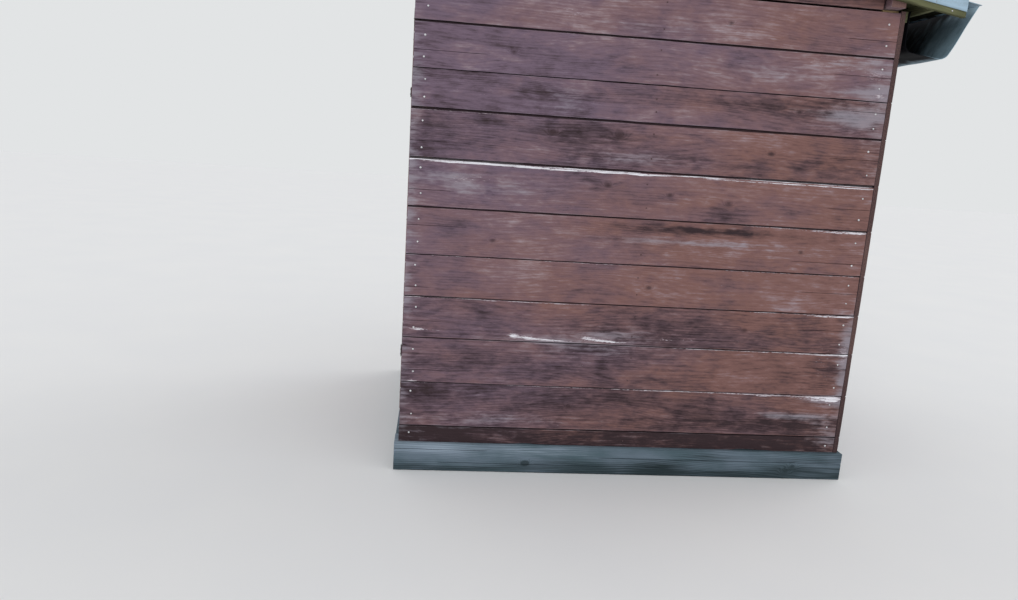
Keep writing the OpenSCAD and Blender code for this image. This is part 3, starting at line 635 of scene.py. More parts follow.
# Front wall, its boards counted from the foot up: the gaps between them, how light and how warm each is;
# then what time has done to the wall, in metres along it and above the ground
frontWall = {
    "gaps": (0.0035, 0.0016, 0.0022, 0.0028, 0.0030, 0.0048, 0.0062, 0.0070, 0.0018, 0.0064),
    "shade": (-0.72, -0.26, -0.19, -0.17, 0.05, 0.02, 0.04, -0.14, -0.10, 0.02, 0.06),
    "warm": (0.5, 0.35, 0.42, 0.42, 0.6, 0.48, 0.32, 0.2, -0.02, -0.05, 0.15),
    # Strips of bare wood under the top edge of a board: from, to, depth of its upper edge, height, strength
    "topStrips": {
        1: ((0.38, 1.2, 0, 0.0036, 0.66), (0.95, 1.75, 0.001, 0.005, 0.74),
            (1.5, 2.2, 0.002, 0.008, 0.72), (1.76, 2.2, 0.006, 0.016, 0.62)),
        2: ((1.15, 2.2, 0.001, 0.0034, 0.72), (1.6, 2.2, 0.004, 0.003, 0.65)),
        3: ((-0.1, 0.42, 0, 0.0036, 0.75), (0.25, 0.82, 0.003, 0.0036, 0.75), (1.45, 2.2, 0, 0.0036, 0.7),
            (1.74, 2.2, 0.003, 0.0055, 0.88)),
        4: ((-0.1, 0.5, 0, 0.0036, 0.55), (0.5, 1, 0.001, 0.003, 0.66), (1.25, 2.2, 0, 0.0035, 0.62)),
        5: ((1.4, 2.2, 0, 0.004, 0.68), (1.7, 2.2, 0.004, 0.006, 0.72)),
        6: ((-0.12, 0.5, 0, 0.0055, 0.95), (0.06, 0.58, 0.0035, 0.008, 1), (0.35, 0.78, 0.008, 0.006, 1),
            (0.52, 1, 0.0015, 0.005, 1), (0.7, 1.12, 0.0055, 0.0075, 1), (1, 1.4, 0.002, 0.006, 0.9),
            (1.2, 1.62, 0.008, 0.0045, 0.78), (1.34, 2.2, 0, 0.0042, 0.84),
            (1.44, 2.2, 0.0075, 0.005, 0.82)),
        7: ((-0.1, 0.5, 0.001, 0.0035, 0.55),),
        9: ((0.4, 1.2, 0, 0.003, 0.45),),
    },
    # Peeled places: x, z, half length, half height, strength
    "peeled": (
        (0.47, 0.624, 0.026, 0.014, 0.84), (0.53, 0.618, 0.05, 0.011, 0.78),
        (0.62, 0.611, 0.1, 0.006, 0.76), (0.66, 0.606, 0.09, 0.003, 0.55), (0.79, 0.626, 0.04, 0.011, 0.74),
        (0.86, 0.617, 0.065, 0.01, 0.8), (0.94, 0.611, 0.07, 0.005, 0.76), (1.15, 0.632, 0.07, 0.007, 0.5),
        (0.06, 0.636, 0.04, 0.008, 0.82), (0.13, 0.633, 0.06, 0.006, 0.68),
        (0.785, 0.498, 0.07, 0.009, 0.55), (1.62, 0.47, 0.05, 0.009, 0.5),
        (1.965, 1.728, 0.035, 0.018, 0.7), (1.93, 1.8, 0.06, 0.04, 0.5), (0.04, 0.405, 0.05, 0.007, 0.7),
        (0.1, 0.398, 0.07, 0.004, 0.6), (0.06, 0.235, 0.05, 0.006, 0.55), (1.95, 0.372, 0.06, 0.018, 0.5),
        (1.93, 0.31, 0.07, 0.01, 0.5), (1.78, 0.3, 0.06, 0.01, 0.55), (1.985, 0.6, 0.02, 0.07, 0.5),
        # Places with flecks of bare wood only
        (0.22, 1.28, 0.15, 0.03, 0.5), (0.62, 1.955, 0.2, 0.045, 0.4), (1.75, 1.84, 0.2, 0.04, 0.46),
        (1.93, 1.66, 0.12, 0.05, 0.36), (0.3, 1.64, 0.25, 0.04, 0.26), (1.35, 1.95, 0.25, 0.03, 0.3),
        (1.9, 1.93, 0.1, 0.03, 0.34), (1.9, 0.55, 0.12, 0.12, 0.32), (1.4, 0.63, 0.3, 0.03, 0.3),
        (0.5, 0.24, 0.5, 0.03, 0.32), (1.5, 1.5, 0.3, 0.05, 0.2), (1.95, 1.2, 0.08, 0.06, 0.32),
        (0.8, 1.42, 0.4, 0.02, 0.24), (1.25, 0.88, 0.3, 0.04, 0.2), (0.2, 0.72, 0.2, 0.03, 0.26),
    ),
    # Bleached places, where the stain has thinned but not gone: x, z, half length, half height, strength
    "bleached": (
        (2, 1.78, 0.12, 0.12, 0.5), (1.92, 1.63, 0.2, 0.055, 0.85), (1.85, 1.86, 0.2, 0.03, 0.4),
        (1.9, 1.74, 0.18, 0.025, 0.55), (2, 1.45, 0.08, 0.12, 0.35), (2, 0.63, 0.05, 0.16, 0.9),
        (2, 0.45, 0.03, 0.12, 0.7), (1.94, 0.375, 0.12, 0.024, 0.7), (1.84, 0.298, 0.13, 0.016, 0.75),
        (1.68, 0.302, 0.06, 0.012, 0.6), (0, 1.1, 0.045, 1.2, 0.55), (0.85, 0.635, 0.25, 0.03, 0.45),
        (0.55, 0.61, 0.2, 0.02, 0.4), (1.97, 0.22, 0.1, 0.08, 0.5), (0.15, 1.27, 0.14, 0.05, 0.45),
        (1.2, 1.065, 0.4, 0.014, 0.75), (0.35, 1.25, 0.25, 0.05, 0.35), (1.45, 1.79, 0.25, 0.04, 0.4),
        (0.9, 1.42, 0.3, 0.02, 0.35), (0.95, 1.385, 0.35, 0.02, 0.3), (1.05, 1.93, 0.3, 0.04, 0.35),
        (0.4, 0.24, 0.35, 0.03, 0.35), (0.85, 0.58, 0.4, 0.05, 0.3), (0.62, 1.62, 0.1, 0.05, 0.4),
    ),
    # Darker places, lighter ones below zero: x, z, half length, half height, strength
    "dark": (
        (1.25, 1.118, 0.36, 0.02, 0.75), (0.86, 1.49, 0.1, 0.03, 0.24), (0.62, 1.5, 0.16, 0.045, 0.3),
        (0.36, 1.515, 0.09, 0.025, 0.2), (0.83, 1.29, 0.14, 0.03, 0.3), (1.15, 1.66, 0.35, 0.03, 0.2),
        (1.78, 1.69, 0.22, 0.02, 0.45), (0.45, 1.8, 0.14, 0.04, 0.2), (1.35, 1.2, 0.16, 0.04, 0.12),
        (1.5, 1.42, 0.5, 0.05, 0.1), (1.2, 0.25, 0.5, 0.05, 0.2), (0.9, 0.85, 0.4, 0.05, 0.1),
        (1.75, 0.26, 0.3, 0.03, 0.25), (0.7, 1.64, 0.3, 0.02, 0.2), (1.5, 1.655, 0.3, 0.02, 0.25),
        (1.65, 1.06, 0.35, 0.09, -0.2), (0.95, 1.06, 0.32, 0.08, 0.12), (1, 0.69, 0.38, 0.07, 0.16),
        (1, 0.87, 0.4, 0.07, -0.11), (1, 1.63, 0.32, 0.05, -0.1), (1.7, 1.63, 0.28, 0.05, 0.12),
        (0.3, 1.25, 0.28, 0.07, -0.11), (1, 1.25, 0.28, 0.07, 0.1), (1, 1.95, 0.32, 0.06, 0.12),
        (1, 0.32, 0.4, 0.07, 0.14), (1.7, 1.8, 0.28, 0.06, -0.07),
    ),
    # Knots: x, z, radius
    "knots": (
        (0.4, 1.791, 0.011), (0.581, 1.489, 0.014), (0.861, 1.496, 0.019), (0.83, 1.288, 0.013),
        (1.36, 1.24, 0.014), (1.28, 1.97, 0.009), (1.62, 1.64, 0.01), (0.36, 1.03, 0.01),
        (1.05, 0.86, 0.011), (1.5, 0.69, 0.012), (0.74, 0.31, 0.011), (1.71, 1.05, 0.009),
        (1.1, 1.26, 0.012), (1.52, 1.46, 0.012),
    ),
    "columnsAt": (0.0015, 0.003, 0.0045, 0.006, 0.0075, 0.009, 0.011, 0.0135, 0.017, 0.024),
    "checkDeep": 0.0035, "slip": 0.002, "raggedFoot": 0.012,
}


def frontBoard(i, low, high):
    rng = np.random.default_rng(500 + i)
    strips = frontWall["topStrips"].get(i, ())
    # A check from each end, on a board that is wide enough, unless they would run side by side
    deep = frontWall["checkDeep"]
    checks = [{"at": 0.2 + 0.5 * rng.random(), "from": -1, "to": 0.1 + 0.2 * rng.random(), "deep": deep},
              {"at": 0.25 + 0.5 * rng.random(), "from": 1.88 - 0.2 * rng.random(), "to": 3, "deep": deep}]
    if abs(checks[0]["at"] - checks[1]["at"]) < 0.12:
        checks.pop(0)
    slip = rng.uniform(0.0, frontWall["slip"], 2)  # how far each end of the board stays short

    def shade(u, v):
        return (frontWall["shade"][i] + 0.10 * softField(u * 4.5, v * 14, 72)
                + 0.08 * softField(u * 1.5, v * 3, 73)
                - bells(frontWall["dark"], u, v) * (1 + 0.4 * softField(u * 20, v * 60, 74))
                - 0.10 * span(u, -1, 0.30, 0.5))

    def bare(u, v):
        total = np.zeros(u.shape)
        waver = 0.0012 * softField(u * 9, 0.5, 75)
        for x0, x1, drop, tall, amount in strips:
            taper = span(u, x0, x1, 0.25)
            ragged = tall * (0.4 + 0.6 * taper) * (1 + 0.4 * softField(u * 31, 0.5, 76))
            upper = high - drop + waver if drop else high + 1
            total = np.maximum(total, amount * taper * span(v, high - drop - ragged + waver, upper, 0.0022))
        return np.clip(total + bells(frontWall["peeled"], u, v), 0, 1.2)

    highest = i == len(frontWall["gaps"])
    look = dict(boardLook, seed=1000 + 37 * i, step=0.008, columns=23, edges=frontWall["columnsAt"],
                wander=0.002, lap=0.0 if highest else boardLook["lap"],
                tongue=0.0 if highest else frontWall["gaps"][i],
                checks=checks if high - low > 0.1 else (), ragged=0.0 if i else frontWall["raggedFoot"],
                wornTop=[(x0, x1, 0.4 * tall * amount) for x0, x1, _, tall, amount in strips],
                knots=[k for k in frontWall["knots"] if low < k[1] < high],
                # Warmth climbs towards the right end and drops at the left end: painted light, warm bounce
                # light at the right and cool skylight at the left
                warm=(frontWall["warm"][i], drift(0.18, 2.5, 9, 71),
                      lambda u, v: 0.62 * span(u, 1.1, 4.0, 1.9) - 0.1 * span(u, -1, 0.25, 0.3)),
                chalk=lambda u, v: (bells(frontWall["bleached"], u, v)
                                    * (1 + 0.45 * softField(u * 9, v * 45, 77))),
                shade=shade, bare=bare)
    board = sawnBoard(walls["front"], shed["front"] - slip.sum(), low, high, look, slip[0])
    addPiece(f"frontBoard{i + 1:02d}", [board], stainedWood, "stained_boards", ["front_wall"])


for number, (low, high) in enumerate(courseSpans(shed["plinth"], eaveTop, frontWall["gaps"])):
    frontBoard(number, low, high)
print("front wall boarded")


# Boards of a wall or of a stretch of it, as one piece
def boardWall(name, node, wall, start, length, foot, head, seed, gap=shed["gap"], **more):
    boards = []
    for i, (low, high) in enumerate(courseSpans(foot, head, gap)):
        rng = np.random.default_rng(seed + i)
        look = dict(
            boardLook, seed=seed + 31 * i,
            shade=(rng.uniform(-0.14, 0.12), drift(0.10, 4.5, 14, seed + 1),
                   lambda u, v: -0.25 * span(v, -1, 0.25, 0.2)),
            warm=(rng.uniform(0.1, 0.6), drift(0.35, 1.7, 6, seed + 2)),
            # Bare under the upper edge here and there, and in flecks
            bare=(lambda u, v: (0.85 * np.clip(softField(u * 1.3, high * 40, seed + 3) * 1.6 - 0.3, 0, 1)
                                * span(v, high - 0.006, high + 1, 0.004)),
                  patches(0.5, 5, 30, seed + 4, 1.8, -0.9)),
            chalk=patches(0.5, 2.2, 8, seed + 5, 1.6, -0.3), **more)
        if high - low > 0.1:
            look["knots"] = [(rng.uniform(start + 0.1, start + length - 0.1),
                              rng.uniform(low + 0.03, high - 0.03), rng.uniform(0.008, 0.014))]
        if high == head:
            look["lap"] = 0.0
        boards.append(sawnBoard(walls[wall], length, low, high, look, start))
    addPiece(name, boards, stainedWood, "stained_boards", [node])


overDoor = nodeBox("left_wall_over_door")
doorway = {"from": overDoor[0][1], "to": overDoor[1][1], "foot": shed["plinth"], "top": overDoor[0][2],
           "casing": 0.080, "casingThick": 0.018, "play": 0.0012}
beside = {"front": doorway["from"] - shed["board"], "back": backFace - doorway["to"],
          "door": doorway["to"] - doorway["from"], "rightTop": 2.075}
highTop = under(shed["board"]) - shed["clear"]
# The ends of the right wall's boards stand next to the front boards, so their joints are shallow
boardWall("rightBoards", "right_wall", "right", 0.0, shed["side"], shed["plinth"], beside["rightTop"], 2100,
          gap=0.0022, lap=0.004)
boardWall("backBoards", "back_wall", "back", 0.0, shed["front"], shed["plinth"], eaveTop, 2600)
boardWall("leftBoardsFront", "left_wall_front", "left", backFace - doorway["from"], beside["front"],
          shed["plinth"], highTop, 3100)
boardWall("leftBoardsBack", "left_wall_back", "left", 0.0, beside["back"], shed["plinth"], highTop, 3600)
boardWall("boardsOverDoor", "left_wall_over_door", "left", beside["back"] + doorway["play"],
          beside["door"] - 2 * doorway["play"], doorway["top"], highTop, 4100)
print("side and back walls boarded")

# Gables: where the lower board ends before the low beam, the notch round the high beam, and the tip of the
# upper board
gable = {"end": 0.010, "notch": 0.102, "beam": 0.028, "beamDeep": 0.080, "tip": 0.003, "corner": 0.0005}


# The end walls above the eave line: level boards whose top edge follows the roof and drops at the high beam
def gableBoards(name, node, wall, seed):
    mirrored = wall == "back"
    first = shed["board"] if mirrored else 0.0
    notchTop = under(gable["beam"]) - gable["beamDeep"]
    ends = [(seams[10] + shed["eaveJoint"] / 2, seams[11] - shed["gap"] / 2, shed["beamX"] - gable["end"])]
    low = seams[11] + shed["gap"] / 2
    ends.append((low, 3.0, shed["beamX"] + (shed["beamTop"] - shed["clear"] - low - gable["tip"]) / rise))

    # A distance along this wall turned into the front wall's x, and back
    def turned(u):
        return rightFace - u if mirrored else u

    boards = []
    for i, (low, cap, reach) in enumerate(ends):
        def top(u):
            x = turned(u)
            return np.minimum(cap, np.where(x < gable["notch"], notchTop, under(x) - shed["clear"]))

        cut = turned(gable["notch"])
        look = dict(boardLook, seed=seed + 31 * i, step=0.012, columns=13, lap=0.0, wander=0.0006,
                    stations=(cut - gable["corner"], cut + gable["corner"]),
                    shade=(-0.3, drift(0.08, 4, 14, seed + 1)), warm=(1.0, drift(0.25, 2, 8, seed + 2)))
        start = turned(reach) if mirrored else first
        boards.append(sawnBoard(walls[wall], reach - first, low, top, look, start))
    addPiece(name, boards, stainedWood, "sheltered_boards", [node])


gableBoards("frontGableBoards", "front_gable", "front", 5100)
gableBoards("backGableBoards", "back_gable", "back", 5600)
print("gables boarded")


# Plinth beams lie under the walls, dark along the foot; lighter on the upper face near the left end, a
# painted highlight, and darker towards the right end, a painted shade
def plinthBeams():
    for i, (name, node, along) in enumerate((
            ("plinthFront", "sill_front", toRight), ("plinthBack", "sill_back", toLeft),
            ("plinthLeft", "sill_left", toFront), ("plinthRight", "sill_right", toBack))):
        low, high = nodeBox(node)
        length = float(abs(np.dot(high - low, along)))
        rng = np.random.default_rng(700 + i)
        checks = [{"at": 0.3, "from": 0.2, "to": length * 0.6, "deep": 0.007},
                  {"at": 0.62, "from": length * 0.45, "to": length + 1, "deep": 0.008},
                  {"at": 0.8, "from": -1, "to": 0.4, "deep": 0.006}]
        knots = [(rng.uniform(0.1, length - 0.1), rng.uniform(0.03, 0.1), 0.013) for _ in range(4)]
        # Painted highlight on the upper face near the left end, painted shade towards the right end
        beam = timber(low, high, along, 7000 + 13 * i, step=0.01, columns=17, relief=0.0011,
                      checks=checks, knots=knots,
                      shade=(0.05, drift(0.25, 5, 20, 7100 + i),
                             lambda u, v: (0.55 * span(v, 0.075, 1, 0.07) * span(u, -1, 0.8, 1.2)
                                           - 0.4 * span(v, -1, 0.05, 0.08) - 0.25 * span(u, 0.7, 9, 1.2))))
        addPiece(name, [beam], plinthWood, "plinth_wood", [node])


# The roof boards and what hangs on their edges; deck and barge are plumb heights, short is what the roof
# boards' square ends stay back from the barge boards' plumb ones
roof = {"left": -0.180, "right": 2.243, "front": -0.040, "back": backFace + 0.040, "edge": 0.022,
        "deck": 0.022 / math.cos(slope), "barge": 0.061 / math.cos(slope), "cover": 0.120, "joint": 0.004,
        "short": 0.0034}
bargeFoot = roof["deck"] - roof["barge"]


# Barge boards follow the fall, their ends plumb: u runs along x, v is plumb height above the roof boards'
# underside
def bargeBoards():
    far = roof["left"] + roof["right"]
    for name, node, seed, x, y, way in (
            ("bargeBoardFront", "barge_front", 7999, 0, roof["front"] - roof["edge"], 1),
            ("bargeBoardBack", "barge_back", 8001, far, roof["back"] + roof["edge"], -1)):
        place = {"start": (x, y, under(x)), "along": (way, 0, -way * rise), "across": upward}
        look = dict(timberLook, seed=seed, thick=roof["edge"], wear=0.0016, step=0.014, columns=9,
                    shade=(0.05, drift(0.4, 13, 55, seed + 10)))
        board = sawnBoard(place, roof["right"] - roof["left"], bargeFoot, roof["deck"], look, roof["left"])
        addPiece(name, [board], oliveWood, "bare_wood", [node])


# Beams under the roof boards and battens along their ends, each seen from outside. The low beam and the
# low batten are painted lighter than the high ones, a painted highlight.
def beamsAndBattens():
    for name, node, facing, slot, material, shade in (
            ("eaveBeamLow", "eave_beam_low", 1, "sheltered_boards", stainedWood, 0.4),
            ("eaveBeamHigh", "eave_beam_high", -1, "sheltered_boards", stainedWood, 0.0),
            ("eaveBattenLow", "eave_batten_low", 1, "bare_wood", oliveWood, 0.5),
            ("eaveBattenHigh", "eave_batten_high", -1, "bare_wood", oliveWood, 0.0)):
        low, high = nodeBox(node)
        thick = high[0] - low[0]
        fall = thick * rise
        if facing > 0:
            start, along, top = (high[0], low[1], 0), toBack, high[2] - fall
        else:
            start, along, top = (low[0], high[1], 0), toFront, high[2]
        look = dict(timberLook, seed=8200 + len(name), thick=thick, step=0.03, columns=7, wear=0.0025,
                    shade=shade, warm=0.7)
        place = {"start": start, "along": along, "across": upward}
        board = sawnBoard(place, high[1] - low[1], low[2], top, look)
        # The back of the section stands higher or lower than its face, by the roof's fall over its thickness
        inward = np.clip(facing * (start[0] - board["points"][:, 0]) / thick, 0, 1)
        upper = np.clip((board["points"][:, 2] - low[2]) / (top - low[2]), 0, 1)
        board["points"][:, 2] += facing * fall * inward * upper
        addPiece(name, [board], material, slot, [node])


plinthBeams()
bargeBoards()
beamsAndBattens()
print("plinth, beams and roof edges made")

# The door leaf stands in its doorway with a gap all round; middle is the height of the knob and turn button
door = {"gap": 0.005, "foot": 0.132, "face": -0.018, "cover": 0.116, "joint": 0.004, "thick": 0.022,
        "lap": 0.011, "middle": 1.022, "buttonReach": 0.095, "screwIn": 0.0075, "screwSize": 0.0048}
door.update({"from": doorway["from"] + door["gap"], "to": doorway["to"] - door["gap"],
             "head": doorway["top"] - door["gap"]})
leafStarts = np.arange(door["from"], door["to"] - 0.01, door["cover"])


def doorBoards():
    boards = []
    place = {"start": (door["face"], 0, 0), "along": upward, "across": toBack}
    for i, start in enumerate(leafStarts):
        rng = np.random.default_rng(6100 + i)
        low, high = start + (door["joint"] if i else 0), min(start + door["cover"], door["to"])
        look = dict(boardLook, seed=6200 + 31 * i, thick=door["thick"], step=0.014, columns=11,
                    edges=(0.003, 0.008), lap=door["lap"] if i < len(leafStarts) - 1 else 0.0,
                    warm=rng.uniform(0.3, 0.8),
                    shade=(rng.uniform(-0.2, 0.02), drift(0.1, 5, 16, 6300 + i),
                           lambda u, v: -0.25 * span(u, -1, 0.28, 0.25)),
                    # Rubbed bare at the foot and where hands turn the button
                    bare=lambda u, v: (0.75 * span(u, -1, 0.16, 0.06)
                                       * np.clip(0.5 + softField(u * 9, v * 60, 6400 + i), 0, 1)
                                       + 0.6 * bell(u, v, door["middle"], door["to"] - 0.1, 0.12, 0.03)),
                    chalk=patches(0.5, 3, 20, 6500 + i, 1.4, -0.2),
                    knots=[(rng.uniform(0.3, 1.8), rng.uniform(low + 0.02, high - 0.02), 0.011)],
                    checks=[{"at": rng.uniform(0.3, 0.7), "from": -1, "to": rng.uniform(0.2, 0.45),
                             "deep": 0.004}])
        boards.append(sawnBoard(place, door["head"] - door["foot"], low, high, look, door["foot"]))
    addPiece("doorBoards", boards, stainedWood, "stained_boards", ["door_leaf"])


def doorCasing():
    wide, thick = doorway["casing"], doorway["casingThick"]
    upright = {"start": (-thick, 0, 0), "along": upward, "across": toBack}
    level = {"start": (-thick, doorway["to"] + wide, 0), "along": toFront, "across": upward}
    tall = doorway["top"] - doorway["foot"]
    boards = []
    for i, (place, start, length, low) in enumerate((
            (upright, doorway["foot"], tall, doorway["from"] - wide),
            (upright, doorway["foot"], tall, doorway["to"]),
            (level, 0.0, doorway["to"] - doorway["from"] + 2 * wide, doorway["top"]))):
        look = dict(boardLook, seed=6600 + 17 * i, thick=thick, lap=0.0, joint=0.0, wear=0.002, step=0.014,
                    edges=(0.003, 0.008), warm=0.9, wander=0.0008, shade=(-0.22, drift(0.1, 5, 16, 6700 + i)),
                    bare=patches(0.5, 5, 40, 6800 + i, 1.8, -0.8))
        boards.append(sawnBoard(place, length, low, low + wide, look, start))
    addPiece("doorCasing", boards, stainedWood, "sheltered_boards", ["door_casing"])


# Parts turned about an axis: rings, each a radius and a height, stand on a face that looks along out, at
# every spot
def turnedParts(spots, out, rings, sides, sizes=1.0):
    out = np.array(out, float) / np.linalg.norm(out)
    across = np.cross(out, upward if abs(out[2]) < 0.9 else toRight)
    across = across / np.linalg.norm(across)
    spots, rings = np.array(spots, float), np.array(rings, float)
    angles = np.arange(sides) * (2 * math.pi / sides)
    circle = np.cos(angles)[:, None] * across + np.sin(angles)[:, None] * np.cross(out, across)
    shape = rings[:, :1, None] * circle + rings[:, 1:, None] * out
    points = spots[:, None, None] + np.broadcast_to(sizes, len(spots))[:, None, None, None] * shape
    sheets = gridCorners(len(rings), sides).reshape(-1, 4)[:, ::-1]
    caps = [np.arange(sides)[::-1], (len(rings) - 1) * sides + np.arange(sides)]
    one = np.concatenate([sheets.ravel()] + caps)
    each = len(rings) * sides * np.arange(len(spots))
    return {"points": points.reshape(-1, 3), "corners": (one[None, :] + each[:, None]).reshape(-1),
            "counts": np.tile(np.concatenate([np.full(len(sheets), 4), [sides, sides]]), len(spots))}


# Collar, neck and rounded head of the knob; a low dome; a washer with a screw head on it; a hinge's knuckles
knobRings = [(0.0148, 0), (0.0148, 0.0028), (0.0138, 0.0038), (0.0100, 0.0044), (0.0088, 0.0060),
             (0.0084, 0.0088), (0.0092, 0.0108), (0.0130, 0.0119), (0.0172, 0.0126), (0.0198, 0.0142),
             (0.0209, 0.0172), (0.0206, 0.0198), (0.0190, 0.0222), (0.0160, 0.0234), (0.0110, 0.0239),
             (0.0050, 0.0240)]
domeRings = [(1.0, -0.15), (1.0, 0.12), (0.92, 0.24), (0.7, 0.36), (0.35, 0.42)]
screwRings = [(0.0085, 0), (0.0085, 0.0010), (0.0078, 0.0016), (0.0050, 0.0018), (0.0048, 0.0050),
              (0.0040, 0.0058)]
barrelRings = [(1, 0), (1, 0.0125), (0.8, 0.0130), (0.8, 0.0136), (1, 0.0141), (1, 0.0259), (0.8, 0.0264),
               (0.8, 0.0270), (1, 0.0275), (1, 0.0395), (0.7, 0.0400)]


# A flat plate of the given outline, counterclockwise in (along, across), with its outer edges bevelled
def plate(place, outline, thick, bevel):
    along, across = np.array(place["along"], float), np.array(place["across"], float)
    out = np.cross(along, across)
    outline = np.array(outline, float)
    before, after = outline - np.roll(outline, 1, axis=0), np.roll(outline, -1, axis=0) - outline
    side = sum(leg / np.linalg.norm(leg, axis=1, keepdims=True) for leg in (before, after))
    side = side / np.linalg.norm(side, axis=1, keepdims=True)
    inner = outline + bevel * np.stack([-side[:, 1], side[:, 0]], axis=1)
    points = np.concatenate([np.array(place["start"]) + p[:, :1] * along + p[:, 1:] * across + w * out
                             for p, w in ((outline, 0.0), (outline, thick - bevel), (inner, thick))])
    n = len(outline)
    sheets = gridCorners(3, n).reshape(-1, 4)[:, ::-1]
    return {"points": points, "counts": np.concatenate([np.full(len(sheets), 4), [n, n]]),
            "corners": np.concatenate([sheets.ravel(), np.arange(n)[::-1], 2 * n + np.arange(n)])}


# Strap hinges; each bolt has its place along the strap and above its middle
hinge = {"heights": (0.407, 1.637), "length": 0.380, "foot": 0.040, "tip": 0.016, "plate": 0.072,
         "thick": 0.003, "knuckle": 0.0032, "bevel": 0.0008, "boltSize": 0.0055,
         "bolts": ((0.035, 0), (0.14, 0), (0.25, 0), (0.345, 0), (-0.055, 0.011), (-0.055, -0.011))}


def doorIronwork():
    surfaces, bolts = [], []
    knuckleY = door["from"] - door["gap"] / 2
    tip, foot, back = hinge["tip"] / 2, hinge["foot"] / 2, hinge["plate"]
    barrel = [(radius * hinge["knuckle"], height) for radius, height in barrelRings]
    # Seen from outside, the strap tapers away from the knuckle to a round tip, and a plate is on the frame
    reach = hinge["length"] - tip
    strap = [(-foot, 0.003), (foot, 0.003)]
    strap += [(-tip * math.sin(a), reach + tip * math.cos(a))
              for a in np.linspace(-math.pi / 2, math.pi / 2, 7)]
    leaf = [(-foot, -back), (foot - 0.004, -back), (foot, -back + 0.004), (foot, -0.003), (-foot, -0.003)]
    for z in hinge["heights"]:
        place = {"start": (door["face"], knuckleY, z), "along": upward, "across": toBack}
        surfaces += [plate(place, outline, hinge["thick"], hinge["bevel"]) for outline in (strap, leaf)]
        knuckle = [(door["face"] - hinge["knuckle"], knuckleY, z - foot)]
        surfaces.append(turnedParts(knuckle, upward, barrel, 14))
        bolts += [(door["face"] - hinge["thick"], knuckleY + y, z + dz) for y, dz in hinge["bolts"]]
    addPiece("doorHinges", surfaces, ironMetal, "iron", ["door_hinges"])
    addPiece("hingeBolts", [turnedParts(bolts, toLeft, domeRings, 12, hinge["boltSize"])], ironMetal)


def doorFastening():
    knobY = doorway["to"] - door["gap"] / 2 - door["buttonReach"]
    knob = turnedParts([(door["face"], knobY, door["middle"])], toLeft, knobRings, 40)
    addPiece("doorKnob", [knob], knobWood, "bare_wood", ["door_handle"], sharp=50.0)
    low, high = nodeBox("door_button")
    button = timber(low, high, toFront, 6900, wear=0.004, columns=7, step=0.006, wander=0.001, shade=0.1,
                    bare=0.2)
    addPiece("doorButton", [button], buttonWood, "bare_wood", ["door_button"])
    pivot = [(low[0], doorway["to"] + door["screwIn"], door["middle"])]
    addPiece("buttonScrew", [turnedParts(pivot, toLeft, domeRings, 14, door["screwSize"])], nailMetal)


doorBoards()
doorCasing()
doorIronwork()
doorFastening()
print("door made")


# A line of points with its inner corners turned into arcs
def rounded(points, radius, steps=5):
    points = np.array(points, float)
    line = [points[:1]]
    for before, corner, after in zip(points[:-2], points[1:-1], points[2:]):
        inward, outward = corner - before, after - corner
        inward, outward = inward / np.hypot(*inward), outward / np.hypot(*outward)
        turn = math.atan2(inward[0] * outward[1] - inward[1] * outward[0], inward @ outward)
        side = np.array([-inward[1], inward[0]]) * math.copysign(1, turn)
        centre = corner - inward * radius * math.tan(abs(turn) / 2) + side * radius
        a = np.linspace(0, abs(turn), steps)[:, None]
        line.append(centre + radius * (np.sin(a) * inward - np.cos(a) * side))
    return np.concatenate(line + [points[-1:]])


# The same line with points added, so that no step is longer than most
def divided(line, most):
    parts = [line[:1]]
    for a, b in zip(line[:-1], line[1:]):
        count = max(1, math.ceil(np.hypot(*(b - a)) / most))
        parts.append(a + (b - a) * (np.arange(1, count + 1) / count)[:, None])
    return np.concatenate(parts)


# A thin sheet: a line in (p, q) carried along u. Its near face is the line moved along its normal by near
# and push, its far face lies thick beyond that; quads close its edges and ends.
def bentSheet(place, u, line, near, thick, push, grime):
    legs = np.diff(line, axis=0)
    legs = legs / np.linalg.norm(legs, axis=1, keepdims=True)
    normals = np.stack([-legs[:, 1], legs[:, 0]], axis=1)
    bent = normals[:-1] + normals[1:]
    normals = np.concatenate([normals[:1], bent * 2 / (bent ** 2).sum(axis=1, keepdims=True), normals[-1:]])
    uu, pp, qq = u[:, None], line[None, :, 0], line[None, :, 1]
    shift = near + push(uu, pp, qq) + np.zeros((len(u), len(line)))
    faces = [line + normals * (shift + extra)[..., None] for extra in (0.0, thick)]
    ring = np.concatenate([faces[0], faces[1][:, ::-1]], axis=1)
    points = (np.array(place["start"], float) + uu[..., None] * np.array(place["along"], float)
              + ring[..., :1] * np.array(place["p"], float) + ring[..., 1:] * np.array(place["q"], float))
    rows, columns = ring.shape[:2]
    j = np.arange(len(line) - 1)
    cap = np.stack([j, j + 1, columns - 2 - j, columns - 1 - j], axis=1)
    quads = np.concatenate([gridCorners(rows, columns).reshape(-1, 4), cap,
                            (rows - 1) * columns + cap[:, ::-1]])
    points = points.reshape(-1, 3)
    # The faces look outwards when the volume inside them comes out positive
    a, b, c, d = (points[quads[:, k]] for k in range(4))
    if (np.cross(b, c) * a).sum() + (np.cross(c, d) * a).sum() < 0:
        quads = quads[:, ::-1]
    soiled = [grime(uu, pp, qq, far) + np.zeros(shift.shape) for far in (False, True)]
    return {"points": points, "corners": quads.reshape(-1), "counts": np.full(len(quads), 4),
            "fields": {"grime": np.concatenate([soiled[0], soiled[1][:, ::-1]], axis=1).reshape(-1)}}


